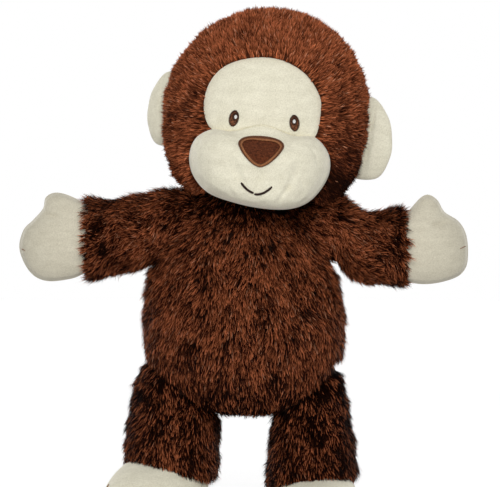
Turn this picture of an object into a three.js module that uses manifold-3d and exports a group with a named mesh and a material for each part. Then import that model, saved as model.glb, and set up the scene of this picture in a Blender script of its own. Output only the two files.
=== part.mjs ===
// Plush monkey: fur covers over fibre filling, with velour face, ears, hands and feet and thread embroidery.
// Millimetres, +Z up. The toy stands on its soles, faces -Y, and its own left side is +X.
// Each limb is sewn on at a soft seam, so its solid is cut back from the torso over the whole swing.

import * as THREE from "three";
import { mergeVertices } from "three/addons/utils/BufferGeometryUtils.js";
import Module from "manifold-3d";

const wasm = await Module();
wasm.setup();

// Cloths and gaps
const FUR = 6; // backing cloth and standing pile together
const VELOUR = 1.6; // short-nap knit of the face, ears, hands and feet
const THREAD = 1.2; // embroidery thread lying on the cloth
const SEAM_GAP = 0.3; // between pieces that are sewn together
const SWING_GAP = 0.8; // between pieces that move past each other

// Feet and legs, from the floor up
const FOOT_LENGTH = 72;
const FOOT_WIDTH = 52;
const FOOT_HEIGHT = 34;
const HEEL_BEHIND_LEG = 24; // heel, behind the leg's centre line
const LEG_WIDTH = 50;
const LEG_DEPTH = 49;
const ANKLE_WIDTH = 54; // the sleeve widens towards its hem
const LEG_LENGTH = 43; // ankle seam to hip
const LEG_ROOT = 27; // outer side of the leg runs on above the hip
const HIP_SPACING = 75;
const HIP_ABOVE_SEAT = 11;
const LEFT_LEG_LEAN = 1; // degrees outwards
const RIGHT_LEG_LEAN = 7;
const LEFT_TOES_OUT = 5; // degrees
const RIGHT_TOES_OUT = 36;
const LEG_FORWARD = 50; // hip swing, degrees
const LEG_BACK = 15;

// Torso
const TORSO_HEIGHT = 130.5;
const BELLY_WIDTH = 117;
const BELLY_HEIGHT = 48; // widest level above the seat
const TORSO_DEPTH = 86;
const SHOULDER_WIDTH = 80;
const NECK_WIDTH = 48; // flat opening at the top

// Arms and hands
const SHOULDER_SPACING = 108;
const SHOULDER_DROP = 30.5; // below the neck opening
const SLEEVE_LENGTH = 38; // shoulder to wrist seam
const SLEEVE_ROOT = 16; // filled stump inside the torso seam
const SLEEVE_HEIGHT = 45;
const SLEEVE_DEPTH = 40;
const WRIST_HEIGHT = 41;
const HAND_LENGTH = 36.5;
const HAND_THICKNESS = 27;
const THUMB_HEIGHT = 28; // thumb tip above the arm's centre line
const PALM_DROP = 22.5; // lower edge of the hand below that line
const ARM_UP = 20; // shoulder swing, degrees
const ARM_DOWN = 35;

// Neck and head
const NECK_DROP = 14.5; // neck pivot below the neck opening
const NECK_RADIUS = 36; // round seat between the head and the torso's top
const NECK_WAD_WIDTH = 42;
const HEAD_WIDTH = 117;
const HEAD_HEIGHT = 117;
const HEAD_DEPTH = 100;
const CROWN_ROUNDNESS = 2; // superellipse exponent above the head's middle
const JAW_ROUNDNESS = 2.5; // and below it
const HEAD_ABOVE_NECK = 59; // head's middle above the neck pivot
const HEAD_FORWARD = 2;
const HEAD_ACROSS = 7; // the head sits a little towards the toy's left
const HEAD_ROLL = 4.5; // degrees, towards the toy's left
const HEAD_YAW = -1; // degrees, towards the toy's right

// Face, in the head's own frame, from the head's middle
const FACE_RECESS = 3.5; // velour lies this far below the fur's tips
const BROW_WIDTH = 65;
const BROW_TOP = 27;
const PINCH_WIDTH = 57; // where the brow meets the muzzle
const PINCH_DROP = 15;
const BROW_DIP = 1.5; // waviness of the seam between brow and muzzle
const MUZZLE_WIDTH = 79.5;
const MUZZLE_MIDDLE_DROP = 33;
const MUZZLE_BOTTOM_DROP = 56;
const MUZZLE_RISE = 25;
const EYE_SPACING = 33.6;
const EYE_DROP = 8.7;
const EYE_WIDTH = 6;
const EYE_HEIGHT = 9.4;
const EYE_TILT = 8; // degrees, tops leaning inwards
const GLINT_SIZE = 2.2;
const NOSE_WIDTH = 26;
const NOSE_TOP_DROP = 18;
const NOSE_BOTTOM_DROP = 35;
const NOSE_BORDER = 2.6; // satin stitch round the nose
const MOUTH_WIDTH = 18;
const MOUTH_DROP = 45; // corners
const SMILE = 4.5; // middle of the mouth below its corners

// Ears
const EAR_HEIGHT = 47;
const EAR_WIDTH = 15.5; // beyond the sewn edge
const EAR_THICKNESS = 6.4;
const EAR_BEHIND = 9; // sewn edge behind the head's middle
const EAR_SEAT = 2; // sewn edge inside the fur's outer surface
const LEFT_EAR_DROP = 11.5;
const RIGHT_EAR_DROP = 5.5;
const LEFT_EAR_SWEEP = 5; // degrees backwards
const RIGHT_EAR_SWEEP = 35;
const EAR_FOLD = 20; // degrees, each way

// Facets
const ROUND_SIDES = 18;
const BLOB_RINGS = 10;
const LIMB_RINGS = 4;
const OUTLINE_POINTS = 18;
const PILLOW_RINGS = 3;
const SWING_STEPS = 5;

// Levels that follow from the sizes above
const HIP_LEVEL = FOOT_HEIGHT + LEG_LENGTH;
const SEAT_LEVEL = HIP_LEVEL - HIP_ABOVE_SEAT;
const TORSO_TOP = SEAT_LEVEL + TORSO_HEIGHT;
const SHOULDER_LEVEL = TORSO_TOP - SHOULDER_DROP;
const NECK_LEVEL = TORSO_TOP - NECK_DROP;

const X_AXIS = new THREE.Vector3(1, 0, 0);
const Y_AXIS = new THREE.Vector3(0, 1, 0);
const Z_AXIS = new THREE.Vector3(0, 0, 1);
const FAR = 1000; // larger than the toy, for cutting planes
const radians = THREE.MathUtils.degToRad;

// Solids and cuts

function solid(geometry) {
  const bare = new THREE.BufferGeometry();
  bare.setAttribute("position", geometry.getAttribute("position"));
  bare.setIndex(geometry.index);
  const merged = mergeVertices(bare, 1e-4);
  const vertProperties = new Float32Array(merged.getAttribute("position").array);
  const corners = merged.index.array;
  const triVerts = [];
  for (let i = 0; i < corners.length; i += 3) {
    const [a, b, c] = [corners[i], corners[i + 1], corners[i + 2]];
    if (a !== b && b !== c && a !== c) triVerts.push(a, b, c);
  }
  const make = (order) =>
    new wasm.Manifold(new wasm.Mesh({ numProp: 3, vertProperties, triVerts: new Uint32Array(order) }));
  const made = make(triVerts);
  return made.volume() > 0 ? made : make(triVerts.reverse());
}

function geometryOf(body) {
  const mesh = body.getMesh();
  const geometry = new THREE.BufferGeometry();
  geometry.setAttribute("position", new THREE.BufferAttribute(new Float32Array(mesh.vertProperties), 3));
  geometry.setIndex(new THREE.BufferAttribute(new Uint32Array(mesh.triVerts), 1));
  geometry.computeVertexNormals();
  return geometry;
}

// The half-space on the positive side of a point along an axis, as a large box.
function beyond(axis, from) {
  const box = new THREE.BoxGeometry(FAR, FAR, FAR);
  const middle = axis.clone().multiplyScalar(FAR / 2 + from);
  return solid(box.translate(middle.x, middle.y, middle.z));
}

function before(axis, to) {
  return beyond(axis.clone().negate(), -to);
}

// A geometry shrunk so that each of its half-sizes loses the same thickness; a negative one grows it.
function shrunk(geometry, thickness) {
  const copy = geometry.clone();
  copy.computeBoundingBox();
  const middle = copy.boundingBox.getCenter(new THREE.Vector3());
  const half = copy.boundingBox.getSize(new THREE.Vector3()).divideScalar(2);
  copy.translate(-middle.x, -middle.y, -middle.z);
  copy.scale(1 - thickness / half.x, 1 - thickness / half.y, 1 - thickness / half.z);
  return copy.translate(middle.x, middle.y, middle.z);
}

// What is left of a limb when the larger form is taken away over the limb's whole swing about its pivot.
function clearOfSwing(limb, larger, axis, fromDegrees, toDegrees) {
  let left = limb;
  for (let step = 0; step < SWING_STEPS; step += 1) {
    const angle = radians(fromDegrees + ((toDegrees - fromDegrees) * step) / (SWING_STEPS - 1));
    const turned = larger.clone().applyMatrix4(new THREE.Matrix4().makeRotationAxis(axis, -angle));
    left = left.subtract(solid(turned));
  }
  return largest(left);
}

// The main body of a cut, without the slivers that fall off.
function largest(body) {
  return body.decompose().reduce((a, b) => (a.volume() > b.volume() ? a : b));
}

// Forms

// A closed loft through rings of equal point counts, with its ends closed by fans.
function loft(rings) {
  const count = rings[0].length;
  const positions = rings.flat().flatMap((p) => [p.x, p.y, p.z]);
  const index = [];
  for (let r = 0; r + 1 < rings.length; r += 1) {
    for (let i = 0; i < count; i += 1) {
      const [a, b] = [r * count + i, r * count + ((i + 1) % count)];
      index.push(a, b, b + count, a, b + count, a + count);
    }
  }
  for (const [r, turn] of [[0, true], [rings.length - 1, false]]) {
    const hub = rings[r].reduce((sum, p) => sum.add(p), new THREE.Vector3()).divideScalar(count);
    const middle = positions.length / 3;
    positions.push(hub.x, hub.y, hub.z);
    for (let i = 0; i < count; i += 1) {
      const [a, b] = [r * count + i, r * count + ((i + 1) % count)];
      index.push(...(turn ? [b, a, middle] : [a, b, middle]));
    }
  }
  const geometry = new THREE.BufferGeometry();
  geometry.setAttribute("position", new THREE.Float32BufferAttribute(positions, 3));
  return geometry.setIndex(index);
}

// A side line of (radius, height) points to revolve, closed by flat ends, each run on past its end by the same length.
function column(sideLine, overrun) {
  const [first, last] = [sideLine[0], sideLine[sideLine.length - 1]];
  const ends = [first.y - overrun, last.y + overrun];
  const points = [new THREE.Vector2(0, ends[0]), ...sideLine, new THREE.Vector2(0, ends[1])];
  if (!overrun) return points;
  points.splice(1, 0, new THREE.Vector2(first.x, ends[0]));
  points.splice(-1, 0, new THREE.Vector2(last.x, ends[1]));
  return points;
}

// A revolved profile of (radius, height) points, stood along Z and flattened front to back.
function revolved(profile, depthShare) {
  const lathe = new THREE.LatheGeometry(profile, ROUND_SIDES);
  return lathe.rotateX(Math.PI / 2).scale(1, depthShare, 1);
}

// A closed smooth outline through (across, up) points, evenly spaced.
function outline(points, count = OUTLINE_POINTS) {
  const curve = new THREE.CatmullRomCurve3(points.map(([x, z]) => new THREE.Vector3(x, 0, z)), true);
  return curve.getSpacedPoints(count).slice(0, count);
}

function middleOf(points) {
  return points.reduce((sum, p) => sum.add(p), new THREE.Vector3()).divideScalar(points.length);
}

// How full a stuffed panel stands at a share of the way from its middle to its sewn edge.
function fullness(share) {
  return Math.sqrt(Math.max(0, 1 - share ** 2.4));
}

// The share of each ring of a stuffed panel, from its sewn edge inwards.
function ringShare(ring, rings = PILLOW_RINGS) {
  return Math.cos((ring / (rings + 0.5)) * (Math.PI / 2));
}

// One stuffed panel over a flat outline in XZ, rising towards -Y (side -1) or +Y (side 1).
function pillow(points, rise, side, rings = PILLOW_RINGS) {
  const middle = middleOf(points);
  const levels = [];
  for (let r = 0; r <= rings; r += 1) {
    const share = ringShare(r, rings);
    levels.push(
      points.map((p) => p.clone().lerp(middle, 1 - share).setY(side * rise * fullness(share))),
    );
  }
  return loft(levels);
}

function outlineShrunk(points, thickness) {
  const middle = middleOf(points);
  const reach = points.reduce((sum, p) => sum + p.distanceTo(middle), 0) / points.length;
  return points.map((p) => p.clone().lerp(middle, thickness / reach));
}

// A thread laid along points, with flat ends.
function threadAlong(points, thickness = THREAD) {
  const path = new THREE.CatmullRomCurve3(points);
  const section = new THREE.Shape(new THREE.EllipseCurve(0, 0, thickness / 2, thickness / 2).getPoints(6).slice(0, 6));
  return new THREE.ExtrudeGeometry(section, { steps: 2 * points.length, extrudePath: path });
}

// A pad of even thickness that follows a front surface, over an outline with an optional hole.
function padOn(surfaceY, points, low, high, hole = null) {
  const at = (p, lift) => new THREE.Vector3(p.x, surfaceY(p.x, p.z) - lift, p.z);
  if (hole) {
    const wall = [[points, low], [points, high], [hole, high], [hole, low], [points, low]];
    const geometry = loft(wall.map(([line, lift]) => line.map((p) => at(p, lift))));
    const fans = 6 * points.length;
    geometry.setIndex(Array.from(geometry.index.array).slice(0, -fans));
    return geometry;
  }
  const middle = middleOf(points);
  const ring = (share, lift) => points.map((p) => at(p.clone().lerp(middle, 1 - share), lift));
  return loft([ring(0.35, low), ring(0.7, low), ring(1, low), ring(1, high), ring(0.7, high), ring(0.35, high)]);
}

// Cloth colours
const furMaterial = new THREE.MeshStandardMaterial({ color: 0x5a2d18, roughness: 0.8, metalness: 0 });
const velourMaterial = new THREE.MeshStandardMaterial({ color: 0xe6dfc8, roughness: 0.9, metalness: 0 });
const fillingMaterial = new THREE.MeshStandardMaterial({ color: 0xf4f4f2, roughness: 1, metalness: 0 });
const darkCloth = new THREE.MeshStandardMaterial({ color: 0x3b1c10, roughness: 0.8, metalness: 0 });
const brownThread = new THREE.MeshStandardMaterial({ color: 0x8a4f2b, roughness: 0.5, metalness: 0 });
const darkThread = new THREE.MeshStandardMaterial({ color: 0x2a1510, roughness: 0.5, metalness: 0 });
const whiteThread = new THREE.MeshStandardMaterial({ color: 0xf2f0ea, roughness: 0.5, metalness: 0 });

function piece(name, body, material) {
  const mesh = new THREE.Mesh(geometryOf(body), material);
  mesh.name = name;
  return mesh;
}

// Torso: a pear of fur, front and back panels sewn at the sides, open at the neck.

function torsoForm() {
  const belly = new THREE.Vector2(BELLY_WIDTH / 2, BELLY_HEIGHT);
  const neck = new THREE.Vector2(NECK_WIDTH / 2, TORSO_HEIGHT);
  const upper = TORSO_HEIGHT - BELLY_HEIGHT;
  const belowShoulder = new THREE.Vector2(belly.x, BELLY_HEIGHT + 0.48 * upper);
  const atShoulder = new THREE.Vector2(SHOULDER_WIDTH / 2, TORSO_HEIGHT - 0.18 * upper);
  const seatArc = new THREE.EllipseCurve(0, BELLY_HEIGHT, belly.x, BELLY_HEIGHT, -Math.PI / 2, 0);
  const side = new THREE.CubicBezierCurve(belly, belowShoulder, atShoulder, neck);
  const points = [...seatArc.getPoints(BLOB_RINGS / 2).slice(0, -1), ...side.getPoints(BLOB_RINGS / 2)];
  points[0].x = 0;
  points.push(new THREE.Vector2(0, TORSO_HEIGHT));
  return revolved(points, TORSO_DEPTH / BELLY_WIDTH).translate(0, 0, SEAT_LEVEL);
}

const torsoOuter = torsoForm();
const torsoInner = shrunk(torsoOuter, FUR);

// The torso as a limb's cover, its inside and its filling keep clear of it.
const torsoForCover = shrunk(torsoOuter, -SWING_GAP);
const torsoForInside = shrunk(torsoOuter, -SWING_GAP - FUR);
const torsoForFilling = shrunk(torsoOuter, -SWING_GAP - FUR - SEAM_GAP);
const neckOpening = new THREE.CylinderGeometry(NECK_WIDTH / 2 - FUR, NECK_WIDTH / 2 - FUR, 4 * FUR, ROUND_SIDES)
  .rotateX(Math.PI / 2)
  .scale(1, TORSO_DEPTH / BELLY_WIDTH, 1)
  .translate(0, 0, TORSO_TOP);

function torso() {
  const group = new THREE.Group();
  const cover = solid(torsoOuter).subtract(solid(torsoInner)).subtract(solid(neckOpening));
  group.add(piece("torso_front_panel", cover.intersect(before(Y_AXIS, -SEAM_GAP / 2)), furMaterial));
  group.add(piece("torso_back_panel", cover.intersect(beyond(Y_AXIS, SEAM_GAP / 2)), furMaterial));
  group.add(piece("torso_filling", solid(shrunk(torsoInner, SEAM_GAP)), fillingMaterial));
  return group;
}

// Neck: a firm wad of filling, flat on the neck opening and round on top, on which the head nods.

function neckWad() {
  const floor = NECK_DROP + SWING_GAP;
  const radius = NECK_RADIUS - SWING_GAP;
  const edge = NECK_WAD_WIDTH / 2;
  const dome = new THREE.EllipseCurve(0, 0, radius, radius, Math.acos(edge / radius), Math.PI / 2);
  const points = [new THREE.Vector2(0, floor), new THREE.Vector2(edge, floor), ...dome.getPoints(LIMB_RINGS)];
  points[points.length - 1].x = 0;
  const group = new THREE.Group();
  group.add(piece("neck_wad", solid(revolved(points, 1)), fillingMaterial));
  group.position.set(0, 0, NECK_LEVEL);
  return group;
}

// Head: a wide rounded hood with a face opening, in a frame whose origin is the neck pivot.

function headRadius(z, inset) {
  const share = Math.min(1, Math.abs(z) / (HEAD_HEIGHT / 2 - inset));
  const roundness = z > 0 ? CROWN_ROUNDNESS : JAW_ROUNDNESS;
  return (HEAD_WIDTH / 2 - inset) * (1 - share ** roundness) ** (1 / roundness);
}

// The front surface of the head at a place measured from the head's middle, inset from the fur's tips.
function headFront(x, z, inset) {
  const flatness = (HEAD_DEPTH / 2 - inset) / (HEAD_WIDTH / 2 - inset);
  return -flatness * Math.sqrt(Math.max(0, headRadius(z, inset) ** 2 - x ** 2));
}

function headForm(inset) {
  const half = HEAD_HEIGHT / 2 - inset;
  const points = [];
  for (let i = 0; i <= BLOB_RINGS; i += 1) {
    const z = -half * Math.cos((Math.PI * i) / BLOB_RINGS);
    points.push(new THREE.Vector2(i % BLOB_RINGS ? headRadius(z, inset) : 0, z));
  }
  return revolved(points, (HEAD_DEPTH / 2 - inset) / (HEAD_WIDTH / 2 - inset));
}

// The seam between brow and muzzle, from the toy's left to its right: it dips under the eyes.
const browSeam = [
  [PINCH_WIDTH / 2, -PINCH_DROP],
  [0.29 * PINCH_WIDTH, -PINCH_DROP - BROW_DIP],
  [0, -PINCH_DROP + BROW_DIP],
  [-0.29 * PINCH_WIDTH, -PINCH_DROP - BROW_DIP],
  [-PINCH_WIDTH / 2, -PINCH_DROP],
];
const browOutline = outline([
  [-BROW_WIDTH / 2, 0.12 * BROW_TOP],
  [-0.38 * BROW_WIDTH, 0.66 * BROW_TOP],
  [0, BROW_TOP],
  [0.38 * BROW_WIDTH, 0.66 * BROW_TOP],
  [BROW_WIDTH / 2, 0.12 * BROW_TOP],
  ...browSeam,
]);
const muzzleLow = MUZZLE_BOTTOM_DROP - MUZZLE_MIDDLE_DROP;
const muzzleOutline = outline(
  [
    [-0.47 * MUZZLE_WIDTH, -0.5 * (PINCH_DROP + MUZZLE_MIDDLE_DROP)],
    [-MUZZLE_WIDTH / 2, -MUZZLE_MIDDLE_DROP],
    [-0.38 * MUZZLE_WIDTH, -MUZZLE_MIDDLE_DROP - 0.78 * muzzleLow],
    [0, -MUZZLE_BOTTOM_DROP],
    [0.38 * MUZZLE_WIDTH, -MUZZLE_MIDDLE_DROP - 0.78 * muzzleLow],
    [MUZZLE_WIDTH / 2, -MUZZLE_MIDDLE_DROP],
    [0.47 * MUZZLE_WIDTH, -0.5 * (PINCH_DROP + MUZZLE_MIDDLE_DROP)],
    ...browSeam,
  ],
  OUTLINE_POINTS + 8,
);
const muzzleMiddle = new THREE.Vector3(0, 0, -MUZZLE_MIDDLE_DROP);

// The share of the way from the muzzle's middle to its sewn edge, in the direction of a place on the face.
function muzzleShare(x, z) {
  const away = new THREE.Vector3(x, 0, z).sub(muzzleMiddle);
  const distance = away.length();
  if (distance < 1e-6) return 0;
  let reach = 0;
  muzzleOutline.forEach((p, i) => {
    const start = p.clone().sub(muzzleMiddle);
    const end = muzzleOutline[(i + 1) % muzzleOutline.length].clone().sub(muzzleMiddle);
    const [cross, from, to] = [
      (end.x - start.x) * away.z - (end.z - start.z) * away.x,
      start.x * away.z - start.z * away.x,
      end.x * away.z - end.z * away.x,
    ];
    if (from * to > 0 || Math.abs(cross) < 1e-9) return;
    const hit = start.lerp(end, -from / cross);
    if (hit.dot(away) > 0) reach = Math.max(reach, hit.length());
  });
  return Math.min(1, distance / reach);
}

function muzzleFront(x, z) {
  return headFront(x, z, FACE_RECESS) - MUZZLE_RISE * fullness(muzzleShare(x, z));
}

// The stuffed muzzle as a loft of shrinking outlines over the head, from behind the face to its tip.
function muzzleForm(inset) {
  const rings = [outlineShrunk(muzzleOutline, inset).map((p) => p.clone().setY(0))];
  const steps = PILLOW_RINGS + 2;
  for (let r = 0; r <= steps; r += 1) {
    const share = ringShare(r, steps);
    const edge = outlineShrunk(muzzleOutline, inset);
    rings.push(
      edge.map((p) => {
        const spot = p.clone().lerp(muzzleMiddle, 1 - share);
        const rise = (MUZZLE_RISE - inset) * fullness(share);
        return spot.setY(headFront(spot.x, spot.z, FACE_RECESS + inset) - rise);
      }),
    );
  }
  return loft(rings);
}

function prism(points) {
  return solid(loft([points.map((p) => p.clone().setY(-FAR)), points.map((p) => p.clone().setY(0))]));
}

function headCovers(atMiddle, neckSeat) {
  const hood = solid(headForm(0)).subtract(solid(headForm(FUR)));
  const face = prism(browOutline).add(solid(muzzleForm(-SEAM_GAP)));
  const cover = hood.subtract(face).translate(...atMiddle).subtract(neckSeat);
  const seam = EAR_BEHIND - HEAD_FORWARD;
  const muzzle = solid(muzzleForm(0));
  const velour = solid(headForm(FACE_RECESS)).subtract(solid(headForm(FACE_RECESS + VELOUR)));
  const browEdge = outlineShrunk(browOutline, SEAM_GAP);
  const brow = velour.intersect(prism(browEdge)).subtract(solid(muzzleForm(-SEAM_GAP)));
  const core = solid(headForm(FUR + SEAM_GAP));
  const muzzlePanel = muzzle.subtract(solid(muzzleForm(VELOUR))).subtract(solid(headForm(FUR)));
  const muzzleCore = solid(muzzleForm(VELOUR + SEAM_GAP)).subtract(solid(headForm(FUR)));
  const placed = (body) => largest(body.translate(...atMiddle).subtract(neckSeat));
  return [
    piece("head_front_panel", largest(cover.intersect(before(Y_AXIS, seam - SEAM_GAP / 2))), furMaterial),
    piece("head_back_panel", largest(cover.intersect(beyond(Y_AXIS, seam + SEAM_GAP / 2))), furMaterial),
    piece("brow_panel", placed(brow), velourMaterial),
    piece("muzzle_panel", placed(muzzlePanel), velourMaterial),
    piece("muzzle_filling", placed(muzzleCore), fillingMaterial),
    piece("head_filling", placed(core), fillingMaterial),
  ];
}

// Embroidery on the face: satin-stitched eyes with a white glint, a cloth nose with a stitched border, a smile.

function ellipseOutline(x, z, width, height, tilt, count) {
  const turned = new THREE.EllipseCurve(x, z, width / 2, height / 2, 0, 2 * Math.PI, false, radians(tilt));
  return turned.getPoints(count).slice(0, count).map((p) => new THREE.Vector3(p.x, 0, p.y));
}

function faceStitching(atMiddle) {
  const brow = (x, z) => headFront(x, z, FACE_RECESS);
  const pieces = [];
  const add = (name, geometry, material, under = null) => {
    const body = under ? solid(geometry).subtract(under) : solid(geometry);
    pieces.push(piece(name, body.translate(...atMiddle), material));
  };
  const muzzle = solid(muzzleForm(-SEAM_GAP));
  for (const [side, sign] of [["left", 1], ["right", -1]]) {
    const [x, z] = [(sign * EYE_SPACING) / 2, -EYE_DROP];
    const eye = ellipseOutline(x, z, EYE_WIDTH, EYE_HEIGHT, sign * EYE_TILT, 12);
    add(`${side}_eye_stitching`, padOn(brow, eye, SEAM_GAP, THREAD), brownThread);
    const glint = ellipseOutline(x, z + 0.15 * EYE_HEIGHT, GLINT_SIZE, GLINT_SIZE, 0, 8);
    add(`${side}_eye_glint`, padOn(brow, glint, THREAD + SEAM_GAP, 1.6 * THREAD), whiteThread);
  }
  const nose = outline(
    [
      [0, -NOSE_TOP_DROP],
      [0.34 * NOSE_WIDTH, -NOSE_TOP_DROP - 1],
      [NOSE_WIDTH / 2, -NOSE_TOP_DROP - 4],
      [0.3 * NOSE_WIDTH, -NOSE_BOTTOM_DROP + 5.5],
      [0, -NOSE_BOTTOM_DROP],
      [-0.3 * NOSE_WIDTH, -NOSE_BOTTOM_DROP + 5.5],
      [-NOSE_WIDTH / 2, -NOSE_TOP_DROP - 4],
      [-0.34 * NOSE_WIDTH, -NOSE_TOP_DROP - 1],
    ],
  );
  const cloth = outlineShrunk(nose, NOSE_BORDER);
  const inside = outlineShrunk(nose, NOSE_BORDER - SEAM_GAP);
  add("nose_cloth", padOn(muzzleFront, cloth, -THREAD, THREAD), darkCloth, muzzle);
  add("nose_border_stitching", padOn(muzzleFront, nose, -THREAD, 1.5 * THREAD, inside), brownThread, muzzle);
  const smile = [-1, -0.75, -0.5, -0.25, 0, 0.25, 0.5, 0.75, 1].map((share) => {
    const [x, z] = [(share * MOUTH_WIDTH) / 2, -MOUTH_DROP - SMILE * (1 - share ** 2)];
    return new THREE.Vector3(x, muzzleFront(x, z) - THREAD / 2 - SEAM_GAP, z);
  });
  add("mouth_stitching", threadAlong(smile), darkThread, muzzle);
  return pieces;
}

// Ears: two velour panels sewn round the rim and set in the head's side seam.

function ear(side, sign, drop, sweep, atMiddle) {
  const spot = -drop;
  const hinge = new THREE.Vector3(
    Math.sqrt(1 - (EAR_BEHIND / (HEAD_DEPTH / 2)) ** 2) * headRadius(spot, 0) - EAR_SEAT,
    EAR_BEHIND,
    spot,
  );
  const rim = outline([
    [-EAR_SEAT, -0.42 * EAR_HEIGHT],
    [0.42 * EAR_WIDTH, -EAR_HEIGHT / 2],
    [0.9 * EAR_WIDTH, -0.26 * EAR_HEIGHT],
    [EAR_WIDTH, 0],
    [0.9 * EAR_WIDTH, 0.26 * EAR_HEIGHT],
    [0.42 * EAR_WIDTH, EAR_HEIGHT / 2],
    [-EAR_SEAT, 0.42 * EAR_HEIGHT],
  ]);
  const swept = new THREE.Matrix4().makeRotationZ(radians(sweep));
  const head = shrunk(headForm(0), -SWING_GAP).translate(-hinge.x, -hinge.y, -hinge.z);
  const group = new THREE.Group();
  for (const [face, way] of [["front", -1], ["back", 1]]) {
    const half = pillow(rim, EAR_THICKNESS / 2 - SEAM_GAP / 2, way, PILLOW_RINGS - 1);
    const panel = solid(half.translate(0, (way * SEAM_GAP) / 2, 0).applyMatrix4(swept));
    group.add(piece(`${side}_ear_${face}`, clearOfSwing(panel, head, Z_AXIS, -EAR_FOLD, EAR_FOLD), velourMaterial));
  }
  group.scale.x = sign;
  group.position.set(sign * hinge.x + atMiddle[0], hinge.y + atMiddle[1], hinge.z + atMiddle[2]);
  return group;
}

const atMiddle = [HEAD_ACROSS, -HEAD_FORWARD, HEAD_ABOVE_NECK];
const headTilt = new THREE.Euler(0, radians(HEAD_ROLL), radians(HEAD_YAW), "ZYX");

function head() {
  const outsideFacets = Math.cos(Math.PI / ROUND_SIDES) * Math.cos(Math.PI / (2 * BLOB_RINGS));
  const neckSeat = solid(new THREE.SphereGeometry(NECK_RADIUS / outsideFacets, ROUND_SIDES, BLOB_RINGS));
  const group = new THREE.Group();
  group.add(...headCovers(atMiddle, neckSeat));
  group.add(...faceStitching(atMiddle));
  group.add(ear("left", 1, LEFT_EAR_DROP, LEFT_EAR_SWEEP, atMiddle));
  group.add(ear("right", -1, RIGHT_EAR_DROP, RIGHT_EAR_SWEEP, atMiddle));
  group.position.set(0, 0, NECK_LEVEL);
  group.rotation.copy(headTilt);
  return group;
}

// Arms: a fur sleeve with a velour mitten, stuffed as one, in a frame at the shoulder with +X outwards.

function sleeveForm(inset, overrun = 0) {
  const [half, wrist] = [SLEEVE_HEIGHT / 2 - inset, WRIST_HEIGHT / 2 - inset];
  const run = SLEEVE_LENGTH + SLEEVE_ROOT;
  const bulge = new THREE.QuadraticBezierCurve(
    new THREE.Vector2(half - 4, 0),
    new THREE.Vector2(half + 3, 0.55 * run),
    new THREE.Vector2(wrist, run),
  );
  const points = column(bulge.getPoints(LIMB_RINGS), overrun);
  const flatness = (SLEEVE_DEPTH / 2 - inset) / half;
  return revolved(points, flatness).translate(0, 0, -SLEEVE_ROOT).rotateY(Math.PI / 2);
}

const handOutline = outline([
  [-0.6 * HAND_LENGTH, 0.5 * WRIST_HEIGHT - FUR],
  [0.05 * HAND_LENGTH, WRIST_HEIGHT / 2],
  [0.25 * HAND_LENGTH, 0.91 * THUMB_HEIGHT],
  [0.42 * HAND_LENGTH, THUMB_HEIGHT],
  [0.59 * HAND_LENGTH, 0.84 * THUMB_HEIGHT],
  [0.67 * HAND_LENGTH, 0.57 * THUMB_HEIGHT],
  [0.85 * HAND_LENGTH, 0.36 * THUMB_HEIGHT],
  [HAND_LENGTH, 0],
  [HAND_LENGTH, -0.4 * PALM_DROP],
  [0.86 * HAND_LENGTH, -0.76 * PALM_DROP],
  [0.6 * HAND_LENGTH, -0.98 * PALM_DROP],
  [0.2 * HAND_LENGTH, -0.97 * PALM_DROP],
  [-0.6 * HAND_LENGTH, FUR - 0.5 * WRIST_HEIGHT],
]);

function handHalf(inset, side) {
  const points = inset ? outlineShrunk(handOutline, inset) : handOutline;
  return pillow(points, HAND_THICKNESS / 2 - inset, side).translate(SLEEVE_LENGTH, 0, 0);
}

function arm(side, sign) {
  const here = [-SHOULDER_SPACING / 2, 0, -SHOULDER_LEVEL];
  const tilt = new THREE.Matrix4().makeRotationFromEuler(headTilt).setPosition(0, 0, NECK_LEVEL);
  const headHere = headForm(-SWING_GAP).translate(...atMiddle).applyMatrix4(tilt).scale(sign, 1, 1).translate(...here);
  const clear = (body, torsoKept) => {
    const torsoHere = torsoKept.clone().translate(...here);
    return [torsoHere, headHere].reduce((left, form) => clearOfSwing(left, form, Y_AXIS, -ARM_UP, ARM_DOWN), body);
  };
  const inside = clear(solid(sleeveForm(FUR, FUR)), torsoForInside);
  const sleeve = clear(solid(sleeveForm(0)), torsoForCover).subtract(inside);
  const wrist = SLEEVE_LENGTH + SEAM_GAP;
  const group = new THREE.Group();
  group.add(piece(`${side}_arm_sleeve`, sleeve, furMaterial));
  const throat = solid(sleeveForm(FUR + SEAM_GAP, 2 * SEAM_GAP));
  let filling = solid(sleeveForm(FUR + SEAM_GAP));
  for (const [face, way] of [["palm", -1], ["back", 1]]) {
    const shell = solid(handHalf(0, way)).subtract(solid(handHalf(VELOUR, way)));
    const side_ = way < 0 ? before(Y_AXIS, -SEAM_GAP / 2) : beyond(Y_AXIS, SEAM_GAP / 2);
    group.add(piece(`${side}_hand_${face}`, largest(shell.intersect(side_).intersect(beyond(X_AXIS, wrist))), velourMaterial));
    const stuffing = solid(handHalf(VELOUR + SEAM_GAP, way));
    filling = filling.add(stuffing.intersect(beyond(X_AXIS, wrist))).add(stuffing.intersect(throat));
  }
  group.add(piece(`${side}_arm_filling`, clear(filling, torsoForFilling), fillingMaterial));
  group.scale.x = sign;
  group.position.set((sign * SHOULDER_SPACING) / 2, 0, SHOULDER_LEVEL);
  return group;
}

// Legs: a fur sleeve on a velour foot with a flat sole, in a frame at the hip with +X outwards.

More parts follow.
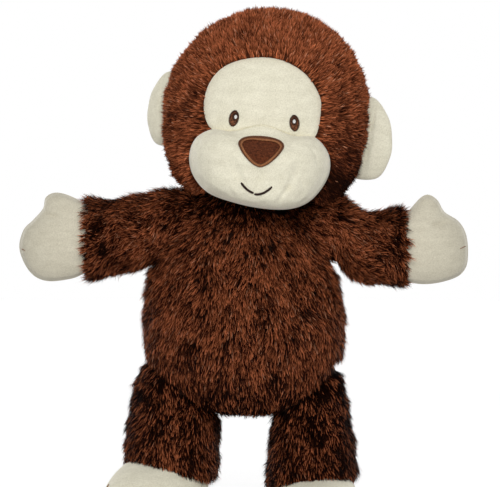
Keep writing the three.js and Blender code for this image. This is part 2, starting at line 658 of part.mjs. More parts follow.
function legForm(inset, lean, overrun = 0) {
  const [half, ankle] = [LEG_WIDTH / 2 - inset, ANKLE_WIDTH / 2 - inset];
  const run = LEG_LENGTH + LEG_ROOT;
  const bulge = new THREE.QuadraticBezierCurve(
    new THREE.Vector2(ankle, 0),
    new THREE.Vector2(half + 3, 0.35 * run),
    new THREE.Vector2(half - 2, run),
  );
  const points = column(bulge.getPoints(LIMB_RINGS), overrun);
  const upright = revolved(points, (LEG_DEPTH / 2 - inset) / half).translate(0, 0, -LEG_LENGTH);
  const slope = -Math.tan(radians(lean));
  return upright.applyMatrix4(new THREE.Matrix4().set(1, 0, slope, 0, 0, 1, 0, 0, 0, 0, 1, 0, 0, 0, 0, 1));
}

// Plan sections of the foot, from the sole up: (share of the height, half-length share, half-width share).
const FOOT_SECTIONS = [
  [0, 0.94, 0.92],
  [0.22, 1, 1],
  [0.5, 0.96, 0.99],
  [0.78, 0.82, 0.95],
  [1, 0.66, 0.9],
];

function footSection(share) {
  const curve = new THREE.CatmullRomCurve3(FOOT_SECTIONS.map(([, length, width]) => new THREE.Vector3(length, width, 0)));
  const at = curve.getPoint(share);
  return { half: (at.x * FOOT_LENGTH) / 2, wide: (at.y * FOOT_WIDTH) / 2 };
}

function footRing(share, inset, count = OUTLINE_POINTS) {
  const { half, wide } = footSection(share);
  const heel = HEEL_BEHIND_LEG - 3 * share;
  const ring = [];
  for (let i = 0; i < count; i += 1) {
    const angle = (2 * Math.PI * i) / count;
    const across = (wide - inset) * Math.sin(angle);
    const along = heel - half - (half - inset) * Math.cos(angle);
    ring.push(new THREE.Vector3(across, along, VELOUR + SEAM_GAP + share * (FOOT_HEIGHT - VELOUR - SEAM_GAP)));
  }
  return ring;
}

function footForm(inset, overrun) {
  const rings = [];
  for (let r = 0; r <= LIMB_RINGS; r += 1) rings.push(footRing(r / LIMB_RINGS, inset));
  rings.unshift(rings[0].map((p) => p.clone().setZ(p.z - overrun)));
  rings.push(rings[rings.length - 1].map((p) => p.clone().setZ(p.z + overrun)));
  return loft(overrun ? rings : rings.slice(1, -1));
}

function soleForm() {
  const flat = footRing(0, 0).map((p) => new THREE.Vector2(p.x, p.y));
  return new THREE.ExtrudeGeometry(new THREE.Shape(flat), { depth: VELOUR, bevelEnabled: false });
}

function leg(side, sign, lean, toesOut) {
  const clear = (body, torsoKept) => {
    const torsoHere = torsoKept.clone().translate(-HIP_SPACING / 2, 0, -HIP_LEVEL);
    return clearOfSwing(body, torsoHere, X_AXIS, LEG_BACK, -LEG_FORWARD);
  };
  const ankle = new THREE.Matrix4().makeTranslation(Math.tan(radians(lean)) * LEG_LENGTH, 0, -HIP_LEVEL);
  const turned = ankle.multiply(new THREE.Matrix4().makeRotationZ(radians(toesOut)));
  const foot = (geometry) => solid(geometry.applyMatrix4(turned));
  const aboveAnkle = beyond(Z_AXIS, -LEG_LENGTH + SEAM_GAP);
  const inside = clear(solid(legForm(FUR, lean, FUR)), torsoForInside);
  const sleeve = clear(solid(legForm(0, lean)), torsoForCover).subtract(inside).intersect(aboveAnkle);
  const throat = solid(legForm(FUR + SEAM_GAP, lean, 2 * SEAM_GAP)).intersect(foot(footForm(VELOUR + SEAM_GAP, FUR)));
  const filling = solid(legForm(FUR + SEAM_GAP, lean)).add(foot(footForm(VELOUR + SEAM_GAP, 0))).add(throat);
  const group = new THREE.Group();
  group.add(
    piece(`${side}_leg_sleeve`, largest(sleeve), furMaterial),
    piece(`${side}_foot_upper`, foot(footForm(0, 0)).subtract(foot(footForm(VELOUR, FUR))), velourMaterial),
    piece(`${side}_foot_sole`, foot(soleForm()), velourMaterial),
    piece(`${side}_leg_filling`, clear(filling, torsoForFilling), fillingMaterial),
  );
  group.scale.x = sign;
  group.position.set((sign * HIP_SPACING) / 2, 0, HIP_LEVEL);
  return group;
}

// The whole toy, stood with the middle of its outer box over the origin.

const toy = new THREE.Group();
toy.add(torso(), neckWad(), head());
toy.add(arm("left", 1), arm("right", -1));
toy.add(leg("left", 1, LEFT_LEG_LEAN, LEFT_TOES_OUT), leg("right", -1, RIGHT_LEG_LEAN, RIGHT_TOES_OUT));
const box = new THREE.Box3().setFromObject(toy, true);
const footprint = box.getCenter(new THREE.Vector3());
toy.position.set(-footprint.x, -footprint.y, -box.min.z);

export default toy;
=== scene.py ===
# Plush monkey: brown pile fur on stuffed backing cloth, with cream velour face, ears, hands and feet.
# Sizes are in millimetres until a mesh is made. In the toy's frame the torso's axis is at x = 0 and y = 0,
# and the floor is at z = 0.
import math

import bmesh
import bpy
import numpy as np
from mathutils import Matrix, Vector


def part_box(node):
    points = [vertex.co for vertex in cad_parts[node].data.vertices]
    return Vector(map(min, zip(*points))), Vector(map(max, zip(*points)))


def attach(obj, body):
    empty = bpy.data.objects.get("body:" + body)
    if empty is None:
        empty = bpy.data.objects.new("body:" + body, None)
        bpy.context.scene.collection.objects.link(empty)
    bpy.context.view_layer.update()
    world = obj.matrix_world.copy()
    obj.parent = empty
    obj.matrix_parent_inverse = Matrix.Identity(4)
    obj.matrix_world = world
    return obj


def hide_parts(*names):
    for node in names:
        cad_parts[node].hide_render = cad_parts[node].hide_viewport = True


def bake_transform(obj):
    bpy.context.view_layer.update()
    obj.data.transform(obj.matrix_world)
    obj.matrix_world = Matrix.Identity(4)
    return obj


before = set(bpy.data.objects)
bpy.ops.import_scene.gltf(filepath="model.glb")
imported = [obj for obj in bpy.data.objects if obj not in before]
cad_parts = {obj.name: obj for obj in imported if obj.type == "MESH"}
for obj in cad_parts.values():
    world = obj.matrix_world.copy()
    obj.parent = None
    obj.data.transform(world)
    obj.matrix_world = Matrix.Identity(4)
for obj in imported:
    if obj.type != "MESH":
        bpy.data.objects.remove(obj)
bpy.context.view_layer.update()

# Camera, light and floor: the picture looks straight at the toy from about a metre and a half.
# Its lower edge cuts off the feet. A soft lamp stands high in front, so that the head is lightest and the
# legs are darkest, and the fur's colour has this light and shade painted into it as well. The floor is pale.
scene = bpy.context.scene
scene.view_settings.view_transform = "Standard"
TORSO_AXIS_Y = 500 * (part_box("torso_front_panel")[0].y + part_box("torso_back_panel")[1].y)
PHOTO_WIDTH, PHOTO_HEIGHT, PIXEL = 500, 487, 0.571
TORSO_COLUMN, FLOOR_ROW = 246, 531
CAMERA_AWAY, SENSOR = 1500, 36


def in_metres(points):
    return (np.asarray(points, float) + (0, TORSO_AXIS_Y, 0)) * 0.001


camera_data = bpy.data.cameras.new("camera")
camera_data.sensor_width = SENSOR
camera_data.lens = SENSOR * CAMERA_AWAY / (PHOTO_WIDTH * PIXEL)
camera = bpy.data.objects.new("camera", camera_data)
camera.location = in_metres(
    ((PHOTO_WIDTH / 2 - TORSO_COLUMN) * PIXEL, -CAMERA_AWAY, (FLOOR_ROW - PHOTO_HEIGHT / 2) * PIXEL)
)
camera.rotation_euler = (math.radians(90), 0, 0)
scene.collection.objects.link(camera)
scene.camera = camera


def lamp(name, location, aim, size, watts, spread):
    data = bpy.data.lights.new(name, "AREA")
    data.shape = "DISK"
    data.size = size
    data.energy = watts
    data.spread = math.radians(spread)
    obj = bpy.data.objects.new(name, data)
    obj.location = location
    way = np.array(aim, float) - np.array(location, float)
    obj.rotation_euler = (math.atan2(math.hypot(way[0], way[1]), -way[2]), 0, math.atan2(-way[0], way[1]))
    scene.collection.objects.link(obj)


lamp("key_lamp", (0.12, -1.5, 0.78), (0.01, 0, 0.27), 0.4, 1.15, 60)
lamp("fill_lamp", (-0.3, -1.6, 0.3), (0, 0, 0.2), 0.6, 1.3, 90)
for name, side in (("left_back_lamp", 1), ("right_back_lamp", -1)):
    lamp(name, (1.1 * side, 1.2, 0.7), (0, 0, 0.17), 0.6, 2.2, 90)

world = bpy.data.worlds.new("studio")
world.use_nodes = True
scene.world = world
nodes, links = world.node_tree.nodes, world.node_tree.links
background = nodes["Background"]
backdrop = nodes.new("ShaderNodeBackground")
background.inputs["Color"].default_value = (1, 1, 1, 1)
background.inputs["Strength"].default_value = 0.36
backdrop.inputs["Color"].default_value = (1, 1, 1, 1)
backdrop.inputs["Strength"].default_value = 1


def seen_rays(nodes, links):
    """A mask of the rays that should see the white backdrop: the camera's, and those of gloss and glass."""
    rays = nodes.new("ShaderNodeLightPath")
    mask = rays.outputs["Is Camera Ray"]
    for kind in ("Is Glossy Ray", "Is Transmission Ray"):
        either = nodes.new("ShaderNodeMath")
        either.operation = "MAXIMUM"
        links.new(mask, either.inputs[0])
        links.new(rays.outputs[kind], either.inputs[1])
        mask = either.outputs["Value"]
    return mask


shown = nodes.new("ShaderNodeMixShader")
links.new(seen_rays(nodes, links), shown.inputs["Fac"])
links.new(background.outputs["Background"], shown.inputs[1])
links.new(backdrop.outputs["Background"], shown.inputs[2])
links.new(shown.outputs["Shader"], nodes["World Output"].inputs["Surface"])


def new_material(name, roughness=0.8, specular=0.3, sheen=0.0):
    material = bpy.data.materials.new(name)
    material.use_nodes = True
    shader = material.node_tree.nodes["Principled BSDF"]
    shader.inputs["Roughness"].default_value = roughness
    shader.inputs["Specular IOR Level"].default_value = specular
    shader.inputs["Sheen Weight"].default_value = sheen
    return material, material.node_tree.nodes, material.node_tree.links, shader


floor_material, nodes, links, shader = new_material("pale_floor", 0.9, 0.1)
shader.inputs["Base Color"].default_value = (0.8, 0.8, 0.8, 1)
glow = nodes.new("ShaderNodeEmission")
where = nodes.new("ShaderNodeTexCoord")
away = nodes.new("ShaderNodeVectorMath")
away.operation = "LENGTH"
outer_glow = nodes.new("ShaderNodeMapRange")
for socket, value in (("From Min", 0.4), ("From Max", 1.6), ("To Min", 0.46), ("To Max", 0.72)):
    outer_glow.inputs[socket].default_value = value
links.new(where.outputs["Object"], away.inputs[0])
links.new(away.outputs["Value"], outer_glow.inputs["Value"])
links.new(outer_glow.outputs["Result"], glow.inputs["Strength"])
shown = nodes.new("ShaderNodeMixShader")
both = nodes.new("ShaderNodeAddShader")
links.new(shader.outputs["BSDF"], both.inputs[0])
links.new(glow.outputs["Emission"], both.inputs[1])
links.new(seen_rays(nodes, links), shown.inputs["Fac"])
links.new(shader.outputs["BSDF"], shown.inputs[1])
links.new(both.outputs["Shader"], shown.inputs[2])
links.new(shown.outputs["Shader"], nodes["Material Output"].inputs["Surface"])
shape = bmesh.new()
bmesh.ops.create_grid(shape, x_segments=1, y_segments=1, size=6)
floor_mesh = bpy.data.meshes.new("floor")
shape.to_mesh(floor_mesh)
shape.free()
floor_mesh.materials.append(floor_material)
floor = bpy.data.objects.new("floor", floor_mesh)
scene.collection.objects.link(floor)

# Torso: a pear of fur cloth, stuffed tight.
# The backing cloth is a knit that only shows between tufts. The pile is about 7 mm long, lies down and away
# from the neck, and clumps into tufts with dark roots and lighter tips. The dark at the roots is painted
# shade, as is the darker pile under the chin and toward the seat.


def add_piece(name, mesh, material):
    mesh.materials.append(material)
    obj = bpy.data.objects.new(name, mesh)
    scene.collection.objects.link(obj)
    return obj


def skin(name, rings, material):
    """A closed skin over rings of points in millimetres: a sphere whose rings move there, and whose poles
    move to the middles of the end rings. Its edges and faces are sorted, because the operator lists them in
    another order at each run."""
    places = in_metres(rings)
    count, columns = places.shape[:2]
    ends = places[0].mean(0), places[-1].mean(0)
    shape = bmesh.new()
    bmesh.ops.create_uvsphere(shape, u_segments=columns, v_segments=count + 1, radius=1)

    def place_in_order(part):
        middle = sum((vert.co for vert in part.verts), Vector()).normalized()
        half_ring = round(2 * (count + 1) * math.acos(max(-1, min(1, middle.z))) / math.pi)
        return columns * (2 * half_ring + math.atan2(middle.y, middle.x) / (2 * math.pi))

    shape.edges.sort(key=place_in_order)
    shape.faces.sort(key=place_in_order)
    for vert in shape.verts:
        ring = round((count + 1) * math.acos(max(-1, min(1, vert.co.z))) / math.pi) - 1
        column = round(columns * math.atan2(vert.co.y, vert.co.x) / (2 * math.pi)) % columns
        vert.co = places[ring, column] if 0 <= ring < count else ends[ring == count]
    shape.normal_update()
    bmesh.ops.recalc_face_normals(shape, faces=shape.faces)
    for face in shape.faces:
        face.smooth = True
    mesh = bpy.data.meshes.new(name)
    shape.to_mesh(mesh)
    shape.free()
    return add_piece(name, mesh, material)


def waves(seed, size, count=14):
    """A smooth random field, about -1 to 1, as a sum of plane waves whose lengths are near size."""
    rng = np.random.default_rng(seed)
    way = rng.normal(size=(count, 3))
    pace = (2 * math.pi / size) * rng.uniform(0.6, 1.5, (count, 1))
    way *= pace / np.linalg.norm(way, axis=1, keepdims=True)
    phase = rng.uniform(0, 2 * math.pi, count)
    return lambda p: np.sin(p @ way.T + phase).sum(1) * math.sqrt(1 / count)


def unit(v):
    return v / np.maximum(np.linalg.norm(v, axis=-1, keepdims=True), 1e-9)


def fade(value, start, end):
    """A share that is 0 up to start and 1 from end on."""
    return np.clip((value - start) / (end - start), 0, 1)


def in_millimetres(points):
    return points * 1000.0 - (0, TORSO_AXIS_Y, 0)


def values_of(items, word, width, kind=np.float32):
    """One property of all of a mesh's vertices or triangles, a row for each."""
    values = np.empty(width * len(items), kind)
    items.foreach_get(word, values)
    return values.reshape(-1, width)


def scatter(obj, count, rng):
    """Points in millimetres spread evenly over an object's faces, with their normals."""
    mesh = obj.data
    mesh.calc_loop_triangles()
    place = in_millimetres(values_of(mesh.vertices, "co", 3))
    normal = values_of(mesh.vertices, "normal", 3).astype(float)
    corners = values_of(mesh.loop_triangles, "vertices", 3, np.int32)
    a, b, c = (place[corners[:, i]] for i in range(3))
    area = np.linalg.norm(np.cross(b - a, c - a), axis=1)
    chosen = rng.choice(len(corners), count, p=area / area.sum())
    s, t = np.sqrt(rng.random(count))[:, None], rng.random(count)[:, None]
    share = (1 - s, s * (1 - t), s * t)
    point = sum(share[i] * place[corners[chosen, i]] for i in range(3))
    return point, unit(sum(share[i] * normal[corners[chosen, i]] for i in range(3)))


pile_material, nodes, links, shader = new_material("fur_pile", 0.5, 0.02)
# The pile's colour is the dye by tint times painted shade that darkens each strand toward its root.
pile_tint = bpy.data.node_groups.new("pile_tint", "ShaderNodeTree")
for word in ("Along", "Tint"):
    pile_tint.interface.new_socket(name=word, in_out="INPUT", socket_type="NodeSocketFloat")
pile_tint.interface.new_socket(name="Color", in_out="OUTPUT", socket_type="NodeSocketColor")
inside = pile_tint.nodes
group_in, group_out = inside.new("NodeGroupInput"), inside.new("NodeGroupOutput")
mixed = inside.new("ShaderNodeMix")
mixed.data_type = "RGBA"
mixed.blend_type = "MULTIPLY"
mixed.inputs["Factor"].default_value = 1
# The dye by tint. Its stop at 1.0 is the pale colour of the glint strands, a painted highlight.
DYE_STOPS = (
    (0.0, (0.008, 0.0025, 0.0015)),
    (0.45, (0.27, 0.07, 0.027)),
    (0.9, (1.0, 0.295, 0.118)),
    (1.0, (1.0, 0.5, 0.3)),
)
# Painted shade along a strand, from near black at its root to none at its tip: the shade deep in the pile.
ROOT_SHADE_STOPS = (
    (0.0, (0.01, 0.01, 0.01)),
    (0.4, (0.05, 0.045, 0.045)),
    (0.7, (0.34, 0.33, 0.32)),
    (1.0, (1, 1, 1)),
)
for word, socket, stops in (("Tint", "A", DYE_STOPS), ("Along", "B", ROOT_SHADE_STOPS)):
    ramp = inside.new("ShaderNodeValToRGB")
    for at, colour in stops[1:-1]:
        ramp.color_ramp.elements.new(at)
    for element, (at, colour) in zip(ramp.color_ramp.elements, stops):
        element.position = at
        element.color = (*colour, 1)
    pile_tint.links.new(group_in.outputs[word], ramp.inputs["Fac"])
    side = next(item for item in mixed.inputs if item.name == socket and item.type == "RGBA")
    pile_tint.links.new(ramp.outputs["Color"], side)
product = next(item for item in mixed.outputs if item.type == "RGBA")
pile_tint.links.new(product, group_out.inputs["Color"])
strand_map = nodes.new("ShaderNodeUVMap")
strand_map.uv_map = "OFBake"
split = nodes.new("ShaderNodeSeparateXYZ")
tinted = nodes.new("ShaderNodeGroup")
tinted.node_tree = pile_tint
links.new(strand_map.outputs["UV"], split.inputs["Vector"])
links.new(split.outputs["X"], tinted.inputs["Tint"])
links.new(split.outputs["Y"], tinted.inputs["Along"])
links.new(tinted.outputs["Color"], shader.inputs["Base Color"])

swirl, lift, patch, parting = waves(3, 26), waves(4, 16), waves(5, 14), waves(6, 20)
STRANDS_PER_TUFT, TUFT_RADIUS, PILE_LENGTH = 4, 0.7, 7.2
BEND, ROOT_SUNK = 0.62, 0.6
LEAN_BELOW, LEAN_ABOVE = -0.16, 0.2
# Glint strands are a painted highlight: a few strands, wider than the rest, take a pale tint.
THINNEST, WIDEST, PAINTED_GLINT_WIDTH, PAINTED_GLINT_CHANCE = 0.15, 0.25, 1.35, 0.022
DARKEST, LIGHTEST, PAINTED_GLINT_TINT, MAP_EDGE = 0.02, 0.9, 0.97, 0.98
# Where the pile parts: x, z and reach. Strands there are shorter and painted darker, a painted shade.
SHADED_PARTINGS = (
    (9, 122, 4), (31, 128, 5.5), (-30, 109, 5.5),
    (-77, 162, 5), (-49, 156, 4.5), (84, 168, 4.5), (-84, 172, 4),
)


def pile(
    name, backing, strands, seed, keep, flow, lean, light,
    streak=1.4, clump=1.0, ruffle=0.2, roots=None, length=None,
):
    """Fur over a backing: tufts of flat tapering strands.

    At each point, flow gives the way they lie, lean how far in degrees, light the painted light and shade
    that lighten or darken their colour, roots how far the painted shade at a strand's foot is lifted, and
    length its share of the full length. The tufts differ in colour by streak, their tips draw together by
    clump, and ruffle turns them about. At the partings they are short, and darker with painted shade. A few
    pale strands are a painted highlight."""
    rng = np.random.default_rng(seed)
    tufts = strands // STRANDS_PER_TUFT
    point, normal = scatter(backing, 4 * tufts, rng)
    kept = np.flatnonzero(keep(point, normal))[:tufts]
    point, normal = point[kept], normal[kept]
    tufts = len(kept)
    along = flow(point, normal)
    along = unit(along - normal * (along * normal).sum(1, keepdims=True))
    turn = ruffle * (swirl(point) + rng.normal(0, 0.7, tufts))[:, None]
    along = along * np.cos(turn) + np.cross(normal, along) * np.sin(turn)
    tilt = np.radians(lean(point) * (1 + 0.15 * lift(point)) + rng.normal(0, 6, tufts))[:, None]
    parted_and_shaded = 0.5 * fade(parting(point), 1.3, 1.7)
    for x, z, size in SHADED_PARTINGS:
        near = np.exp(-((point[:, 0] - x) ** 2 + (point[:, 2] - z) ** 2) / size**2) * (point[:, 1] < 0)
        parted_and_shaded = np.maximum(parted_and_shaded, near * (0.75 + 0.35 * patch(point)))
    parted_and_shaded *= clump
    reach = PILE_LENGTH * (1 - 0.3 * parted_and_shaded + rng.normal(0, 0.12, tufts))
    if length:
        reach *= length(point)
    # Tone varies at random from tuft to tuft; at the partings it is darkened as painted shade.
    shade = streak * (0.12 * patch(point) + rng.normal(0, 0.14 * clump, tufts)) - 0.75 * parted_and_shaded
    painted_level = light(point)

    def each(values):
        return np.repeat(values, STRANDS_PER_TUFT, axis=0)

    total = tufts * STRANDS_PER_TUFT
    across = np.cross(normal, along)
    radius = TUFT_RADIUS * np.sqrt(rng.random(total))[:, None]
    angle = rng.uniform(0, 2 * math.pi, total)[:, None]
    offset = radius * (each(along) * np.cos(angle) + each(across) * np.sin(angle))
    size = (each(reach) * rng.uniform(0.7, 1.12, total))[:, None]
    wild = rng.normal(0, 0.09, (total, 3))
    below, above = tilt + LEAN_BELOW, tilt + LEAN_ABOVE
    low = unit(each(normal * np.cos(below) + along * np.sin(below)) + wild)
    high = unit(each(normal * np.cos(above) + along * np.sin(above)) + 1.2 * wild)
    root = each(point) + offset - ROOT_SUNK * each(normal)
    middle = root + BEND * size * low - 0.3 * clump * offset
    tip = middle + (1 - BEND) * size * high - 0.35 * clump * offset
    flat = unit(np.cross(unit(tip - root), each(normal)))
    roll = rng.normal(0, 0.45, total)[:, None]
    flat = flat * np.cos(roll) + np.cross(unit(tip - root), flat) * np.sin(roll)
    # Painted highlight: some strands take the pale glint tint, more of them where the painted light is high.
    glint = rng.random(total) < PAINTED_GLINT_CHANCE * math.sqrt(clump) * each(painted_level)
    width = (rng.uniform(THINNEST, WIDEST, total) * np.where(glint, PAINTED_GLINT_WIDTH, 1))[:, None] * flat
    waist = 0.9 * width
    corners = np.stack([root - width, root + width, middle - waist, middle + waist, tip], 1).reshape(-1, 3)

    # Each strand is a quad from its root to its bend and a triangle from there to its tip.
    mesh = bpy.data.meshes.new(name)
    mesh.vertices.add(5 * total)
    mesh.loops.add(7 * total)
    mesh.polygons.add(2 * total)
    mesh.vertices.foreach_set("co", in_metres(corners).astype(np.float32).ravel())
    first = 5 * np.arange(total)[:, None]
    mesh.loops.foreach_set("vertex_index", (first + (0, 1, 3, 2, 2, 3, 4)).astype(np.int32).ravel())
    start = 7 * np.arange(total)[:, None]
    mesh.polygons.foreach_set("loop_start", (start + (0, 4)).astype(np.int32).ravel())
    mesh.update(calc_edges=True)
    tint = np.clip(0.44 + each(shade) + 0.85 * streak * (rng.beta(0.5, 0.65, total) - 0.435), 0, 1)
    # Painted light and shade: the light at each point lightens or darkens the strand's tint.
    tint = tint ** (1 / each(painted_level))
    tint = np.clip(np.where(glint, PAINTED_GLINT_TINT, np.minimum(tint, LIGHTEST)), DARKEST, MAP_EDGE)[:, None]
    # The painted root shade starts at each strand's foot, lifted toward lighter by roots.
    foot = (np.zeros(total) if roots is None else each(roots(point)))[:, None]
    across_map = tint + np.array((-1, 1, 1, -1, -1, 1, 0)) * 0.004
    along_map = np.array((DARKEST, DARKEST, BEND, BEND, BEND, BEND, MAP_EDGE))
    along_map = np.clip(along_map + foot * (1 - along_map), DARKEST, MAP_EDGE)
    strand_uv = mesh.uv_layers.new(name="OFBake")
    strand_uv.data.foreach_set("uv", np.stack([across_map, along_map], 2).astype(np.float32).ravel())
    obj = add_piece(name, mesh, pile_material)
    return obj


mottle = bpy.data.node_groups.new("mottle", "ShaderNodeTree")
for word in ("Grain", "Detail", "Start", "End"):
    mottle.interface.new_socket(name=word, in_out="INPUT", socket_type="NodeSocketFloat")
for word in ("Dark", "Light"):
    mottle.interface.new_socket(name=word, in_out="INPUT", socket_type="NodeSocketColor")
mottle.interface.new_socket(name="Color", in_out="OUTPUT", socket_type="NodeSocketColor")
mottle.interface.new_socket(name="Height", in_out="OUTPUT", socket_type="NodeSocketFloat")
inside = mottle.nodes
group_in, group_out = inside.new("NodeGroupInput"), inside.new("NodeGroupOutput")
where = inside.new("ShaderNodeTexCoord")
grain = inside.new("ShaderNodeTexNoise")
spread = inside.new("ShaderNodeMapRange")
shades = inside.new("ShaderNodeMix")
shades.data_type = "RGBA"
dark_side, light_side = (item for item in shades.inputs if item.type == "RGBA")
for source, socket in (
    (where.outputs["Object"], grain.inputs["Vector"]),
    (group_in.outputs["Grain"], grain.inputs["Scale"]),
    (group_in.outputs["Detail"], grain.inputs["Detail"]),
    (grain.outputs["Fac"], spread.inputs["Value"]),
    (group_in.outputs["Start"], spread.inputs["From Min"]),
    (group_in.outputs["End"], spread.inputs["From Max"]),
    (spread.outputs["Result"], shades.inputs["Factor"]),
    (group_in.outputs["Dark"], dark_side),
    (group_in.outputs["Light"], light_side),
    (next(item for item in shades.outputs if item.type == "RGBA"), group_out.inputs["Color"]),
    (grain.outputs["Fac"], group_out.inputs["Height"]),
):
    mottle.links.new(source, socket)


def mottled(name, finish, grain, dark, light, start=0, end=1, detail=2, relief=None):
    """A material in two shades of a fine grain. Finish is its roughness, gloss and sheen, start and end are
    where the shades are full, and relief is a bump's strength and depth."""
    material, nodes, links, shader = new_material(name, *finish)
    cloth = nodes.new("ShaderNodeGroup")
    cloth.node_tree = mottle
    for socket, value in (("Grain", grain), ("Detail", detail), ("Start", start), ("End", end)):
        cloth.inputs[socket].default_value = value
    for socket, colour in (("Dark", dark), ("Light", light)):
        cloth.inputs[socket].default_value = (*colour, 1)
    links.new(cloth.outputs["Color"], shader.inputs["Base Color"])
    if relief:
        bump = nodes.new("ShaderNodeBump")
        for socket, value in zip(("Strength", "Distance"), relief):
            bump.inputs[socket].default_value = value
        links.new(cloth.outputs["Height"], bump.inputs["Height"])
        links.new(bump.outputs["Normal"], shader.inputs["Normal"])
    return material


KNIT_FINISH, KNIT_GRAIN = (0.95, 0.1), 900
backing_material = mottled(
    "fur_backing", KNIT_FINISH, KNIT_GRAIN, (0.006, 0.0025, 0.0015), (0.022, 0.008, 0.004)
)

PILE_HEIGHT = 3.4
SEAT, TORSO_TOP, BELLY, BELLY_LEVEL, TORSO_FLATNESS = 66, 196.5, 58.5, 114, 86 / 117
CHEST, COLLAR, TORSO_SHIFT = 40, 24, -1.0
COLUMNS = 72
turns = np.linspace(0, 2 * math.pi, COLUMNS, endpoint=False)


def bezier(points, t):
    """Points at shares t along a Bezier curve of any degree."""
    points = [np.asarray(p, float)[None, :] for p in points]
    t = np.asarray(t, float)[:, None]
    while len(points) > 1:
        points = [a * (1 - t) + b * t for a, b in zip(points, points[1:])]
    return points[0]


arc = np.linspace(-math.pi / 2, 0, 20)
FULL_SEAT = 2 / 2.25
seat_drop = (BELLY_LEVEL - SEAT) * np.abs(np.sin(arc)) ** FULL_SEAT
seat_line = np.stack([BELLY * np.cos(arc) ** FULL_SEAT, BELLY_LEVEL - seat_drop], 1)
upper = TORSO_TOP - BELLY_LEVEL
side_line = bezier(
    (
        (BELLY, BELLY_LEVEL),
        (BELLY, BELLY_LEVEL + 0.43 * upper),
        (CHEST, TORSO_TOP - 0.18 * upper),
        (COLLAR, TORSO_TOP),
    ),
    np.linspace(0, 1, 24)[1:],
)
torso_line = np.vstack([seat_line, side_line])


def in_torso(p, inset):
    """How far a point is inside the torso drawn in by inset, as a share: over 0 is inside."""
    half = np.interp(p[:, 2], torso_line[:, 1], torso_line[:, 0], left=0, right=0) - inset
    return 1 - np.hypot(p[:, 0] - TORSO_SHIFT, p[:, 1] / TORSO_FLATNESS) / np.maximum(half, 1e-3)


# Side, how far the flank stands out, at what height, and how far up and down that goes.
FULLER_FLANKS = ((-1, 2.8, 150, 15), (1, 1.0, 160, 9))
torso_rows = []
middle_level = (SEAT + TORSO_TOP) / 2
squeeze = 1 - PILE_HEIGHT / (middle_level - SEAT)
for radius, level in torso_line[1:]:
    width = max(radius * (1 - PILE_HEIGHT / BELLY), 1)
    depth = radius * TORSO_FLATNESS * (1 - PILE_HEIGHT / (BELLY * TORSO_FLATNESS))
    height = middle_level + (level - middle_level) * squeeze
    fuller = np.zeros(COLUMNS)
    for side, swell, at, reach in FULLER_FLANKS:
        bulge = swell * math.exp(-(((height - at) / reach) ** 2))
        fuller += bulge * side * np.maximum(side * np.cos(turns), 0)
    side_ways = TORSO_SHIFT + width * np.cos(turns) + fuller
    torso_rows.append(np.stack([side_ways, depth * np.sin(turns), np.full(COLUMNS, height)], 1))
torso_backing = skin("torso_backing", torso_rows, backing_material)
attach(torso_backing, "torso")
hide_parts("torso_filling")

LEG_X, HIP_Z, SHOULDER_X, SHOULDER_Z = 37.5, 77, 54, 166
ARM_ROOT_HIGH, ARM_ROOT_DEEP, ARM_ROOT_FROM = 15, 13, 30
LEG_ROOT_WIDE, LEG_ROOT_DEEP, LEG_ROOT_TO = 18, 16, 100
FUR_SOURCE, CHIN_X, NECK_OPENING, FUR_LEAN = (5, 0, 215), 5, 6, 62.0


def in_limb_roots(p):
    """Points of the torso's cloth that an arm or a leg is sewn over."""
    side = np.abs(p[:, 0])
    arm = np.hypot((p[:, 2] - SHOULDER_Z) / ARM_ROOT_HIGH, p[:, 1] / ARM_ROOT_DEEP) < 1
    leg = np.hypot((side - LEG_X) / LEG_ROOT_WIDE, p[:, 1] / LEG_ROOT_DEEP) < 1
    return (arm & (side > ARM_ROOT_FROM)) | (leg & (p[:, 2] < LEG_ROOT_TO))


def torso_flow(p, n):
    return unit(p - FUR_SOURCE) * (1.0, 0.5, 1) + (0, 0, -0.45)


def level_lean(p):
    return np.full(len(p), FUR_LEAN)


# Painted light and shade of the torso's pile: a painted shadow under the chin, and painted shade toward the
# seat.
def torso_painted_light(p):
    height = p[:, 2]
    chin_shadow = fade(height, 166, 184) * fade(np.abs(p[:, 0] - CHIN_X), 62, 37)
    seat_shade = 0.66 * fade(height, 122, 80) + 0.3 * fade(height, 93, 77)
    return np.maximum(0.95 - 0.84 * chin_shadow - seat_shade, 0.1)


def torso_keep(p, side):
    return (side * p[:, 1] > 0) & ~in_limb_roots(p) & (np.hypot(p[:, 0], p[:, 1]) > NECK_OPENING)


for half, side, strands, seed in (("front", -1, 66000, 11), ("back", 1, 56000, 12)):
    fur = pile(
        f"torso_{half}_pile", torso_backing, strands, seed, lambda p, n, side=side: torso_keep(p, side),
        torso_flow, level_lean, torso_painted_light,
    )
    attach(fur, "torso")
    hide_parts(f"torso_{half}_panel")

# Neck: a wad of packed fibre under the same backing cloth.
# It stands in the torso's opening, and the head is sewn on round its upper end.
NECK_LINE, NECK_FLATNESS = ((21, 191), (20, 196), (19, 202), (16, 206)), 0.85
neck_rows = [
    np.stack([r * np.cos(turns), NECK_FLATNESS * r * np.sin(turns), np.full(COLUMNS, z)], 1)
    for r, z in NECK_LINE
]
neck = skin("neck_backing", neck_rows, backing_material)
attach(neck, "neck")
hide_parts("neck_wad")

